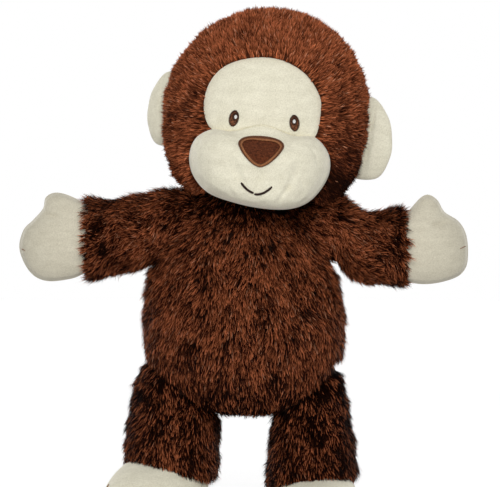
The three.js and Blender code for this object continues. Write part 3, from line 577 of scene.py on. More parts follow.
# Head: a wide hood of the same fur cloth, in a front and a back panel sewn over the top from ear to ear.
# It is stuffed firmly. Its pile is shorter than the torso's, and is brushed outwards from the face to the
# crown and the back.
NECK_Z, HEAD_MIDDLE, HEAD_HALF = 182, (7, -2, 59), (58.5, 50, 58.5)
CROWN_LEAN, HOOD_PILE, HOOD_FLOOR = 3, 3.0, -50
roll, yaw = math.radians(4.5), math.radians(-1)
spin = np.array(((math.cos(yaw), -math.sin(yaw), 0), (math.sin(yaw), math.cos(yaw), 0), (0, 0, 1)))
spin = spin @ np.array(((math.cos(roll), 0, math.sin(roll)), (0, 1, 0), (-math.sin(roll), 0, math.cos(roll))))


def on_head(local):
    """A place measured from the head's middle, upright, to the toy's frame."""
    return (np.asarray(local, float) + HEAD_MIDDLE) @ spin.T + (0, 0, NECK_Z)


def from_head(points):
    return (np.asarray(points, float) - (0, 0, NECK_Z)) @ spin - HEAD_MIDDLE


def head_radius(z, inset):
    share = np.minimum(1, np.abs(z) / (HEAD_HALF[2] - inset))
    power = np.where(z > 0, 2.0, 2.9)
    return (HEAD_HALF[0] - inset) * (1 - share**power) ** (1 / power)


def head_front(x, z, inset):
    flatness = (HEAD_HALF[1] - inset) / (HEAD_HALF[0] - inset)
    return -flatness * np.sqrt(np.maximum(0, head_radius(z, inset) ** 2 - x**2))


head_rows = []
for angle in np.linspace(0.02, math.pi - 0.02, 44):
    z = -(HEAD_HALF[2] - HOOD_PILE) * math.cos(angle)
    r = float(head_radius(np.array(z), HOOD_PILE))
    flatness = (HEAD_HALF[1] - HOOD_PILE) / (HEAD_HALF[0] - HOOD_PILE)
    crown = CROWN_LEAN * max(z / HEAD_HALF[2], 0) ** 2
    level = np.full(COLUMNS, max(z, HOOD_FLOOR))
    head_rows.append(on_head(np.stack([r * np.cos(turns) + crown, flatness * r * np.sin(turns), level], 1)))
# The hood's backing is the same knit as the torso's, painted lighter: painted light that takes shade out of
# the gaps about the face.
hood_lighter_material = mottled(
    "hood_backing_painted_lighter", KNIT_FINISH, KNIT_GRAIN, (0.03, 0.009, 0.004), (0.09, 0.027, 0.011)
)
head_backing = skin("head_backing", head_rows, hood_lighter_material)
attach(head_backing, "head")
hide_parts("head_filling")


def smooth_outline(points, count):
    """A closed smooth line through (x, z) points, evenly spaced."""
    p = np.asarray(points, float)
    t = np.linspace(0, 1, 24, endpoint=False)[:, None]
    line = []
    for i in range(len(p)):
        a, b, c, d = (p[(i + k) % len(p)] for k in (-1, 0, 1, 2))
        line.append(b + 0.5 * t * (c - a + t * (2 * a - 5 * b + 4 * c - d + t * (3 * (b - c) + d - a))))
    line = np.vstack(line)
    ring = np.vstack([line, line[:1]])
    run = np.concatenate([[0], np.cumsum(np.linalg.norm(np.diff(ring, axis=0), axis=1))])
    at = np.linspace(0, run[-1], count, endpoint=False)
    return np.stack([np.interp(at, run, ring[:, k]) for k in (0, 1)], 1)


def share_of(outline, middle):
    """A function giving a place's share of the way from a panel's middle to its sewn edge."""
    away = outline - middle
    angle = np.arctan2(away[:, 1], away[:, 0])
    order = np.argsort(angle)
    angle, reach = angle[order], np.hypot(*away[order].T)
    angle = np.concatenate([angle - 2 * math.pi, angle, angle + 2 * math.pi])
    reach = np.tile(reach, 3)

    def share(x, z):
        x, z = x - middle[0], z - middle[1]
        return np.hypot(x, z) / np.interp(np.arctan2(z, x), angle, reach)

    return share


brow_seam = ((28.5, -15), (16.5, -15.2), (0, -11), (-16.5, -15.2), (-28.5, -15))
BROW_Z, MUZZLE_Z = 4, -33
brow_middle, muzzle_middle = np.array((0, BROW_Z)), np.array((0, MUZZLE_Z))
brow_outline = smooth_outline(
    (
        (-33.8, -6), (-34, 4), (-31, 13), (-25, 20), (-16, 24.5), (-5, 26.8), (5, 26.5), (13.6, 23.8),
        (21.4, 19), (27.6, 11.4), (30.8, 2.5), *brow_seam,
    ),
    144,
)
muzzle_outline = smooth_outline(
    (
        (-37.5, -20.5), (-40.6, -30.5), (-37.6, -41), (-28.5, -50), (-14, -54.4), (1.5, -56.5), (16, -56),
        (26.5, -52), (34, -44), (38.4, -33.5), (36.8, -23), *brow_seam,
    ),
    168,
)
brow_share, muzzle_share = share_of(brow_outline, brow_middle), share_of(muzzle_outline, muzzle_middle)


def from_face(local):
    """How far a place on the hood is outside the face opening, as a share of the opening's size."""
    x, z = local[:, 0], local[:, 2]
    return np.where(local[:, 1] < 0, np.minimum(brow_share(x, z), muzzle_share(x, z)) - 1, 1)


SIDE_SEAM_Y, HOOD_RIM, OPENING_EDGE = 9, -49, -0.012
SEAM_HALF, SEAM_Z, SEAM_REACH = 26, -15, 5
FACE_SOURCE, DOWN_THE_BACK = (0, -46, -12), (0, 0.2, -1)


def head_keep(p, side):
    local = from_head(p)
    x, y, z = local.T
    front = y < SIDE_SEAM_Y
    under_seam = (np.abs(x) < SEAM_HALF) & (np.abs(z - SEAM_Z) < SEAM_REACH) & (y < 0)
    return (front if side < 0 else ~front) & (from_face(local) > OPENING_EDGE) & ~under_seam & (z > HOOD_RIM)


def head_lean(p):
    return 36 + 22 * fade(from_face(from_head(p)), 0, 0.25)


# Painted root shade is lifted over the whole head, most by the face's edge.
def head_root_shade_lift(p):
    return 0.3 + 0.4 * fade(from_face(from_head(p)), 0.15, 0)


def head_length(p):
    return 0.82 - 0.2 * fade(from_face(from_head(p)), 0.12, 0)


# Painted light and shade of the head's pile: lighter toward the crown, darker low down, most toward +x.
def head_painted_light(p):
    x, y, z = from_head(p).T
    return 1.2 + 0.3 * fade(z, 8, 28) - (0.35 + 0.68 * fade(x, 0, 40)) * fade(z, 6, -34)


def head_flow(p, n):
    local = from_head(p)
    away = unit(local - FACE_SOURCE)
    back = fade(local[:, 1:2], 5, 35)
    return (away * (1 - back) + back * np.array(DOWN_THE_BACK)) @ spin.T


for half, side, strands, seed in (("front", -1, 66000, 21), ("back", 1, 56000, 22)):
    fur = pile(
        f"head_{half}_pile", head_backing, strands, seed, lambda p, n, side=side: head_keep(p, side),
        head_flow, head_lean, head_painted_light, streak=0.75, clump=0.4, roots=head_root_shade_lift, length=head_length,
    )
    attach(fur, "head")
    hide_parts(f"head_{half}_panel")

# Face: a brow and a muzzle panel of cream velour, sewn into the hood's opening and to each other.
# The brow lies close on the filling. The muzzle is stuffed full, with a short dart from the nose to the mouth
# and small puckers where its lower edge is gathered into the seam.
velour_nap = bpy.data.node_groups.new("velour_nap", "ShaderNodeTree")
velour_nap.interface.new_socket(name="Nap", in_out="OUTPUT", socket_type="NodeSocketFloat")
inside = velour_nap.nodes
group_out = inside.new("NodeGroupOutput")
where = inside.new("ShaderNodeTexCoord")
stretch = inside.new("ShaderNodeMapping")
stretch.inputs["Scale"].default_value = (0.35, 1, 1)
nap = inside.new("ShaderNodeTexNoise")
nap.inputs["Scale"].default_value = 1500
nap.inputs["Detail"].default_value = 2
brushed = inside.new("ShaderNodeTexNoise")
brushed.inputs["Scale"].default_value = 260
brushed.inputs["Detail"].default_value = 3
both = inside.new("ShaderNodeMix")
both.inputs["Factor"].default_value = 0.35
velour_nap.links.new(where.outputs["Object"], nap.inputs["Vector"])
velour_nap.links.new(where.outputs["Object"], stretch.inputs["Vector"])
velour_nap.links.new(stretch.outputs["Vector"], brushed.inputs["Vector"])
velour_nap.links.new(nap.outputs["Fac"], both.inputs["A"])
velour_nap.links.new(brushed.outputs["Fac"], both.inputs["B"])
velour_nap.links.new(both.outputs["Result"], group_out.inputs["Nap"])
NAP_START, NAP_END, NAP_STRENGTH, NAP_DEPTH = 0.32, 0.68, 0.35, 0.0005
# How much a hand's velour is lightened by the wrist and darkened toward the fingers: painted light and shade.
WRIST_PAINTED_LIGHT, FINGERS_PAINTED_SHADE = 1.1, 0.88


def velour(name, shaded, lit, painted_shade_from=None, painted_shade_to=None):
    """Short cream nap. Given two distances off the toy's middle, in metres, it has painted light at the first
    and painted shade at the second.
    """
    material, nodes, links, shader = new_material(name, 0.95, 0.05, 0.5)
    shader.inputs["Sheen Roughness"].default_value = 0.5
    shader.inputs["Sheen Tint"].default_value = (1, 0.97, 0.9, 1)
    nap = nodes.new("ShaderNodeGroup")
    nap.node_tree = velour_nap
    shades = nodes.new("ShaderNodeValToRGB")
    for element, at, colour in zip(shades.color_ramp.elements, (NAP_START, NAP_END), (shaded, lit)):
        element.position = at
        element.color = (*colour, 1)
    relief = nodes.new("ShaderNodeBump")
    relief.inputs["Strength"].default_value = NAP_STRENGTH
    relief.inputs["Distance"].default_value = NAP_DEPTH
    links.new(nap.outputs["Nap"], shades.inputs["Fac"])
    links.new(nap.outputs["Nap"], relief.inputs["Height"])
    cloth = shades.outputs["Color"]
    # Painted light and shade across a hand: lighter by the wrist, darker toward the fingers.
    if painted_shade_from:
        where, split, aside = (nodes.new(f"ShaderNode{kind}") for kind in ("TexCoord", "SeparateXYZ", "Math"))
        aside.operation = "ABSOLUTE"
        painted_falloff = nodes.new("ShaderNodeMapRange")
        limits = (painted_shade_from, painted_shade_to, WRIST_PAINTED_LIGHT, FINGERS_PAINTED_SHADE)
        for socket, value in zip(("From Min", "From Max", "To Min", "To Max"), limits):
            painted_falloff.inputs[socket].default_value = value
        painted_falloff_applied = nodes.new("ShaderNodeVectorMath")
        painted_falloff_applied.operation = "SCALE"
        links.new(where.outputs["Object"], split.inputs["Vector"])
        links.new(split.outputs["X"], aside.inputs[0])
        links.new(aside.outputs["Value"], painted_falloff.inputs["Value"])
        links.new(cloth, painted_falloff_applied.inputs[0])
        links.new(painted_falloff.outputs["Result"], painted_falloff_applied.inputs["Scale"])
        cloth = painted_falloff_applied.outputs["Vector"]
    links.new(cloth, shader.inputs["Base Color"])
    links.new(relief.outputs["Normal"], shader.inputs["Normal"])
    return material


cream_velour = velour("cream_velour", (0.69, 0.65, 0.5), (0.91, 0.87, 0.705))
# The hands' velour is the cream velour painted darker, as painted shade, with painted light by the wrist.
shaded_hand_velour = velour("shaded_hand_velour", (0.55, 0.505, 0.39), (0.72, 0.675, 0.54), 0.09, 0.13)

BROW_SUNK, BROW_CROWN = 2.1, 0.9
MUZZLE_SUNK, MUZZLE_STANDS, LEVEL_UNDER = 2.6, 20, 4
DART_WIDE, DART_DEEP, PUCKER = 2.2, 0.8, 1.3


def fullness(share):
    return np.sqrt(np.maximum(0, 1 - np.minimum(share, 1) ** 2.4))


def seam_dip(share):
    return 0.7 * fade(share, 0.93, 1) ** 2


def brow_front(x, z):
    share = np.minimum(brow_share(x, z), 1)
    turned_under = 0.5 * fade(z, -13, -5) * share**10
    return head_front(x, z, BROW_SUNK) + turned_under - BROW_CROWN * (1 - share**2) + 0.7 * seam_dip(share)


def apart(x, z, start, end):
    """How far places are from a straight line between two points of the face."""
    run = np.subtract(end, start)
    share = np.clip(((x - start[0]) * run[0] + (z - start[1]) * run[1]) / (run @ run), 0, 1)
    return np.hypot(x - start[0] - share * run[0], z - start[1] - share * run[1])


# The two ends of each crease, its width and its depth.
MUZZLE_FOLDS = (
    (((-26.4, -49.2), (-11.3, -54.5)), 1.2, 2.0),
    (((20, -36), (16.5, -44)), 2.2, 0.8),
    (((16.5, -44), (11.5, -52)), 1.5, 1.1),
    (((-14, -36.4), (-8.5, -42.5)), 1.6, 0.7),
    (((4.6, -37), (0, -41.2)), 1.6, 0.5),
)


def muzzle_front(x, z):
    share = np.minimum(muzzle_share(x, z), 1)
    above = z - MUZZLE_Z
    uphill = np.clip(above / (np.hypot(x, above) + 1e-6), 0, 1) ** 1.5
    rise = MUZZLE_STANDS * (uphill * (1 - share**1.4) ** 1.5 + (1 - uphill) * np.sqrt(1 - share**7))
    levelled = MUZZLE_Z - LEVEL_UNDER * (1 - np.exp(np.minimum(above, 0) / LEVEL_UNDER))
    base = head_front(x, np.where(above < 0, levelled, z), MUZZLE_SUNK - 0.4 * uphill)
    dart = np.exp(-((x / DART_WIDE) ** 2)) * fade(z, -35, -38) * fade(z, -50, -45)
    angle = np.arctan2(x, -above)
    gathers = fade(share, 0.62, 0.92) * np.clip(1.05 - share, 0, 1) * fade(np.abs(angle), 1.3, 1.0)
    wrinkle = np.sin(15 * angle + 0.6) * np.abs(np.sin(2.3 * angle + 0.4))
    folds = sum(depth * np.exp(-((apart(x, z, *ends) / width) ** 2)) for ends, width, depth in MUZZLE_FOLDS)
    sewn_in = 0.5 * seam_dip(share) * uphill
    return base - rise + DART_DEEP * dart + PUCKER * gathers * wrinkle + folds + sewn_in


def cap_shares(rings):
    """Shares of the way from a panel's middle to its edge, from the edge inwards and closest there."""
    return np.cos(np.linspace(0, math.pi / 2, rings, endpoint=False))


def on_face(spot, surface, rise=0):
    """Places in the toy's frame for (x, z) spots of the face, rise in front of a surface on the head."""
    x, z = spot.T
    return on_head(np.stack([x, surface(x, z) - rise, z], 1))


def panel(name, outline, middle, surface, material, rings, depth):
    """A velour panel over a flat outline, on a front surface in the head's frame, its edge turned under."""
    spots = [middle + (outline - middle) * share for share in cap_shares(rings)]
    hem = on_face(spots[0], surface, -depth)
    obj = skin(name, [hem, *(on_face(spot, surface) for spot in spots)], material)
    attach(obj, "head")
    return obj


brow = panel("brow", brow_outline, brow_middle, brow_front, cream_velour, 34, 6)
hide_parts("brow_panel")
muzzle = panel("muzzle", muzzle_outline, muzzle_middle, muzzle_front, cream_velour, 44, 14)
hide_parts("muzzle_panel", "muzzle_filling")

# Embroidery: brown, dark and white thread sewn through the velour of the face.
# The nose is dark cloth under a satin-stitched border, each eye is satin stitch in layers with a white glint,
# and the mouth is one thick thread. They hold the muzzle's cloth down where its stuffing would swell it.
THREAD_FINISH, THREAD_START, THREAD_END = (0.45, 0.1), 0.35, 0.65


def thread_material(name, light, dark, grain=2500):
    return mottled(name, THREAD_FINISH, grain, dark, light, THREAD_START, THREAD_END)


iris_thread = thread_material("iris_thread", (0.26, 0.1, 0.048), (0.06, 0.022, 0.01), 1100)
pupil_thread = thread_material("pupil_thread", (0.055, 0.022, 0.012), (0.03, 0.012, 0.007))
eye_thread = thread_material("eye_thread", (0.15, 0.055, 0.025), (0.085, 0.03, 0.014))
brown_thread = thread_material("brown_thread", (0.27, 0.105, 0.044), (0.16, 0.058, 0.024))
# The golden ridge thread is partly the border's own lighter thread, partly a painted highlight on its raised
# ridge.
golden_and_highlight_thread = thread_material("golden_and_highlight_thread", (0.4, 0.17, 0.07), (0.2, 0.075, 0.03))
dark_thread = thread_material("dark_thread", (0.03, 0.013, 0.009), (0.016, 0.007, 0.005))
white_thread = thread_material("white_thread", (0.86, 0.85, 0.82), (0.74, 0.73, 0.70))


def threads(name, paths, radius, material, body="head"):
    """Round threads along paths of points in millimetres, in one object."""
    curve = bpy.data.curves.new(name, "CURVE")
    curve.dimensions = "3D"
    curve.bevel_depth = 0.001 * radius
    curve.bevel_resolution = 1
    curve.use_fill_caps = True
    for path in paths:
        spline = curve.splines.new("POLY")
        spline.points.add(len(path) - 1)
        for point, place in zip(spline.points, in_metres(path)):
            point.co = (*place, 1)
        spline.points[0].radius = spline.points[-1].radius = 0.55
    obj = add_piece(name, bpy.data.meshes.new_from_object(bpy.data.objects.new(name, curve)), material)
    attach(obj, body)
    return obj


def across_face(surface, starts, ends, lift, steps=6, arch=0.35):
    """Stitches that lie on a front surface in the head's frame, from (x, z) starts to ends."""
    paths = []
    for start, end in zip(starts, ends):
        share = np.linspace(0, 1, steps)
        spot = start + (end - start) * share[:, None]
        paths.append(on_face(spot, surface, lift + arch * np.sin(math.pi * share)))
    return paths


nose_outline = smooth_outline(
    (
        (-0.4, -17), (6.2, -17.6), (10.6, -19.3), (12.2, -22), (10.8, -25.4), (8, -29.2), (4.1, -32.8),
        (-0.2, -34.6), (-4.7, -32.8), (-8.8, -29.2), (-11.6, -25.4), (-13, -22), (-11.4, -19.3), (-7, -17.6),
    ),
    150,
)
nose_middle = np.array((0, -25))
nose_share = share_of(nose_outline, nose_middle)
nose_cloth_material = mottled(
    "nose_cloth", (0.85, 0.1, 0.05), 1000, (0.045, 0.011, 0.0035), (0.145, 0.038, 0.0132), 0.32, 0.68,
    detail=4, relief=(0.4, 0.0004),
)
NOSE_UNDER_BORDER, NOSE_HEM, BORDER_WIDTH, RIDGE_WIDTH = 0.93, 1.5, 2.0, 1.15


def nose_front(x, z):
    return muzzle_front(x, z) - 0.5 - 0.45 * fullness(nose_share(x, z))


nose_away = nose_outline - nose_middle
nose_rows = [
    on_face(nose_middle + NOSE_UNDER_BORDER * nose_away * share, nose_front) for share in cap_shares(14)
]
nose_rows.insert(0, nose_rows[0] + (0, NOSE_HEM, 0))
nose = skin("nose", nose_rows, nose_cloth_material)
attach(nose, "head")
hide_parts("nose_cloth")
nose_reach = np.hypot(*nose_away.T)[:, None]
inner = nose_middle + nose_away * (1 - BORDER_WIDTH / nose_reach)
border = threads(
    "nose_border", across_face(muzzle_front, nose_outline, inner, 0.75, 6, 0.55), 0.3,
    eye_thread,
)
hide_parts("nose_border_stitching")
# The ridge thread, partly a painted highlight, lies further in at the top of the border than at the bottom.
ridge_set = 0.95 + 0.07 * nose_away[:, 1:]
ridge_out = nose_middle + nose_away * (1 - ridge_set / nose_reach)
ridge_in = nose_middle + nose_away * (1 - (ridge_set + RIDGE_WIDTH) / nose_reach)
threads(
    "nose_ridge", across_face(muzzle_front, ridge_out, np.roll(ridge_in, 2, 0), 1.3, 5, 0.3), 0.24,
    golden_and_highlight_thread,
)


def turned(x, y, angle):
    """Flat places turned by an angle."""
    return x * math.cos(angle) - y * math.sin(angle), x * math.sin(angle) + y * math.cos(angle)


def satin(x, z, width, height, tilt, pitch):
    """Ends of satin stitches that fill a leaning ellipse, one row every pitch."""
    rows = np.arange(-height / 2 + pitch / 2, height / 2, pitch)
    half = 0.5 * width * np.sqrt(1 - (2 * rows / height) ** 2)
    return [np.stack(turned(end, rows, tilt), 1) + (x, z) for end in (-half, half)]


EYE_X, EYE_Z, EYE_LEAN = 16.8, -8.3, 8
EYE_SIZE, IRIS_SIZE, PUPIL_SIZE, GLINT_SIZE = (5.7, 9.0), (4.5, 7.4), (3.1, 4.6), (1.7, 2.0)
SATIN_PITCH, GLINT_PITCH = 0.5, 0.4
for side, sign, gaze in (("left", 1, -0.2), ("right", -1, 1.0)):
    x, z, lean = EYE_X * sign, EYE_Z, math.radians(EYE_LEAN * sign)
    rows = satin(x, z, *EYE_SIZE, lean, SATIN_PITCH)
    eye = threads(
        f"{side}_eye", across_face(brow_front, *rows, 0.3, 7, 0.4), 0.3, pupil_thread
    )
    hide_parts(f"{side}_eye_stitching")
    rows = satin(x, z - 0.3, *IRIS_SIZE, lean, SATIN_PITCH)
    threads(f"{side}_iris", across_face(brow_front, *rows, 0.7, 6, 0.35), 0.3, iris_thread)
    rows = satin(x + 0.6 * gaze, z + 1.0, *PUPIL_SIZE, lean, SATIN_PITCH)
    threads(f"{side}_pupil", across_face(brow_front, *rows, 1.1, 5, 0.3), 0.3, pupil_thread)
    rows = satin(x + gaze, z + 0.8, *GLINT_SIZE, lean, GLINT_PITCH)
    glint = threads(
        f"{side}_glint", across_face(brow_front, *rows, 1.55, 4, 0.2), 0.27, white_thread
    )
    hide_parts(f"{side}_eye_glint")

MOUTH_X, MOUTH_Z, MOUTH_HALF, MOUTH_CURL = -1, -49.5, 9, 5.6
mouth_paths = []
for start, end, step in ((-0.97, -0.155, 0.5), (-0.12, 0.93, 0)):
    run = np.linspace(start, end, 12)
    spot = np.stack([MOUTH_HALF * run + MOUTH_X, MOUTH_Z + MOUTH_CURL * run**2 + step], 1)
    mouth_paths.append(on_face(spot, muzzle_front, 0.25))
mouth = threads("mouth", mouth_paths, 0.7, dark_thread)
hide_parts("mouth_stitching")


def held_muzzle(local):
    """Where the muzzle's cloth is held: at its seam, in its creases, and by the nose and the mouth."""
    x, y, z = local.T
    from_mouth = np.abs(z - MOUTH_Z - MOUTH_CURL * ((x - MOUTH_X) / MOUTH_HALF) ** 2)
    at_mouth = (np.abs(x - MOUTH_X) < MOUTH_HALF + 0.5) & (from_mouth < 1.2) & (y < 0)
    creased = np.min([apart(x, z, *ends) for ends, width, depth in MUZZLE_FOLDS], 0) < 0.7
    return (muzzle_share(x, z) > 0.97) | (nose_share(x, z) < 1.05) | at_mouth | creased


def stuffed(obj, held, slack, pressure, least, most, frames=16):
    """A cloth simulation of a panel cut slack larger than its place: stuffing swells it between the places
    where it is held. It ends from least to most millimetres off its first shape, because the filling carries
    it."""
    mesh = obj.data
    before = values_of(mesh.vertices, "co", 3)
    normal = values_of(mesh.vertices, "normal", 3)
    seam = obj.vertex_groups.new(name="held")
    seam.add(np.flatnonzero(held(from_head(in_millimetres(before)))).tolist(), 1, "REPLACE")
    cloth = obj.modifiers.new("cloth", "CLOTH")
    cloth.point_cache.frame_end = frames
    solver = cloth.settings
    solver.quality = 6
    solver.mass = 0.05
    solver.tension_stiffness = 12
    solver.compression_stiffness = 12
    solver.shear_stiffness = 6
    solver.bending_stiffness = 0.25
    solver.air_damping = 2
    solver.vertex_group_mass = "held"
    solver.pin_stiffness = 50
    solver.use_pressure = True
    solver.uniform_pressure_force = pressure
    solver.shrink_min = -slack
    solver.effector_weights.gravity = 0
    for step in range(1, frames + 1):
        scene.frame_set(step)
    done = obj.evaluated_get(bpy.context.evaluated_depsgraph_get())
    after = values_of(done.to_mesh().vertices, "co", 3)
    done.to_mesh_clear()
    obj.modifiers.remove(cloth)
    obj.vertex_groups.remove(seam)
    scene.frame_set(1)
    swell = 1000.0 * ((after - before) * normal).sum(1)
    move = 0.001 * np.clip(swell, least, most)[:, None] * normal
    mesh.vertices.foreach_set("co", (before + move.astype(np.float32)).ravel())
    mesh.update()


stuffed(muzzle, held_muzzle, 0.014, 5.0, -0.8, 1.3)

# Ears: a front and a back of cream velour, sewn together round the rim and lightly stuffed.
# Each is set into the head's side seam. One is larger and has a pleat from the sewing-in.
EAR_RIM = ((-9, -19.5), (6.5, -23.5), (14, -12), (15.5, 0), (14, 12), (6.5, 23.5), (-9, 19.5), (-11, 0))
EAR_MIDDLE, EAR_HALF_THICK, EAR_SUNK, EAR_CUP = np.array((3.0, 0.0)), 2.9, 2, 0.0042
PLEAT_DEEP, PLEAT_WIDE, PLEAT_X, PLEAT_LEAN = 1.6, 1.3, 4.5, 0.08
for side, sign, drop, sweep, pleat, tilt, reach, height in (
    ("left", 1, 11.5, 5, 1.0, 0.13, 1.15, 1.0), ("right", -1, 3.3, 35, 0.3, 0.1, 1.0, 0.9),
):
    at_seam = math.sqrt(1 - (SIDE_SEAM_Y / HEAD_HALF[1]) ** 2) * float(head_radius(np.array(-drop), 0))
    rim = smooth_outline(EAR_RIM, 96) * (reach, height)
    rim = np.stack(turned(*rim.T, tilt), 1)
    for face, way in (("front", -1), ("back", 1)):
        rows = []
        for share in cap_shares(20):
            x, z = (EAR_MIDDLE + (rim - EAR_MIDDLE) * share).T
            rise = EAR_HALF_THICK * np.maximum(0, 1 - share**4) ** 0.6
            fold = np.exp(-(((x - PLEAT_X - PLEAT_LEAN * z) / PLEAT_WIDE) ** 2)) * (1 - share**3)
            y = way * (rise - PLEAT_DEEP * pleat * fold) + EAR_CUP * z**2
            x, y = turned(x, y, math.radians(sweep))
            rows.append(on_head(np.stack([sign * (at_seam - EAR_SUNK + x), SIDE_SEAM_Y + y, z - drop], 1)))
        ear = skin(f"{side}_ear_{face}_cloth", rows, cream_velour)
        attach(ear, f"{side}_ear")
        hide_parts(f"{side}_ear_{face}")

# Arms: fur sleeves over filling, sewn into the torso's shoulder seams.
# Each is closed by a stuffed mitten of cream velour with a thumb, painted darker as shade, lighter by the
# wrist and darker toward the fingers. Its palm and back are sewn together round the edge, and a thread line
# divides its fingers.


def inflated(outline, thickness, cell=0.8, rounds=1200):
    """How thick a stuffed flat bag of this outline stands at (x, z), from an evenly loaded film over it."""
    low, high = outline.min(0) - 2 * cell, outline.max(0) + 2 * cell
    xs, zs = np.arange(low[0], high[0], cell), np.arange(low[1], high[1], cell)
    gx, gz = np.meshgrid(xs, zs, indexing="ij")
    covered = np.zeros(gx.shape, bool)
    for (x0, z0), (x1, z1) in zip(outline, np.roll(outline, -1, 0)):
        if z0 != z1:
            covered ^= ((z0 > gz) != (z1 > gz)) & (gx < (x1 - x0) * (gz - z0) / (z1 - z0) + x0)
    film = np.zeros(gx.shape)
    for _ in range(rounds):
        around = film[2:, 1:-1] + film[:-2, 1:-1] + film[1:-1, 2:] + film[1:-1, :-2]
        film[1:-1, 1:-1] = 0.25 * around + 0.01
        film[~covered] = 0
    film = thickness * (film / film.max()) ** 0.55

    def height(x, z):
        i = np.clip((x - xs[0]) / cell, 0, len(xs) - 1.001)
        j = np.clip((z - zs[0]) / cell, 0, len(zs) - 1.001)
        a, b = i.astype(int), j.astype(int)
        s, t = i - a, j - b
        near = film[a, b] * (1 - t) + film[a, b + 1] * t
        far = film[a + 1, b] * (1 - t) + film[a + 1, b + 1] * t
        return near * (1 - s) + far * s

    return height


SLEEVE, SLEEVE_ROOT, SLEEVE_DEEP, SLEEVE_HIGH, SLEEVE_BEND = 38, 26, 14, 16.5, (40, 64)
left_hand = (
    (-22, 12), (-5, 16.5), (1, 21), (7.5, 28), (12.3, 29.9), (17.4, 26.6), (21.4, 20), (29.2, 14.8),
    (33.6, 7.4), (34.8, -3), (33.4, -12), (27, -17.8), (12, -21.2), (-2, -19.2), (-22, -11),
)
right_hand = (
    (-22, 12), (-4, 19.4), (2, 21.8), (10.6, 25.6), (17.4, 26.6), (22.4, 23.8), (24, 17.4), (29.8, 10.8),
    (35.2, 5), (37.3, -6), (31.4, -18.6), (22, -23.8), (8, -22.6), (-1, -19.2), (-22, -12),
)
hand_middle = np.array((9.0, 0.0))
HAND_HALF_THICK, CUFF_INSIDE, CUFF_EDGE = 13.5, 2.5, 2.6
CREASE_FROM, CREASE_TO, CREASE_LEVEL, CREASE_SLOPE = 12, 25, 11.5, 0.28
CREASE_DEEP, CREASE_WIDE = 2.2, 1.5
fringe = waves(8, 5)
ARM_STRANDS = 38000
# How light the arms' pile is painted along each arm, as painted light and shade: darkest by the armpit,
# lightest midway, darker toward the cuff.
ARM_PAINTED_LIGHT_AT = (25, 40, 50, 58, 66, 71, 77, 90)
ARM_PAINTED_LIGHT = (0.2, 0.5, 0.85, 1.2, 1.1, 0.75, 0.45, 0.3)


def at_cuff(p):
    return fade(np.abs(p[:, 0]), 80, 89)


def arm_keep(p, n):
    on_sleeve = np.abs(p[:, 0]) < SHOULDER_X + SLEEVE - CUFF_EDGE
    return (in_torso(p, 5) < 0.02) & on_sleeve & (np.abs(n[:, 0]) < 0.9)


def arm_length(p):
    return 1 + at_cuff(p) * (0.4 * np.clip(fringe(p), -0.6, 1) - 0.2)


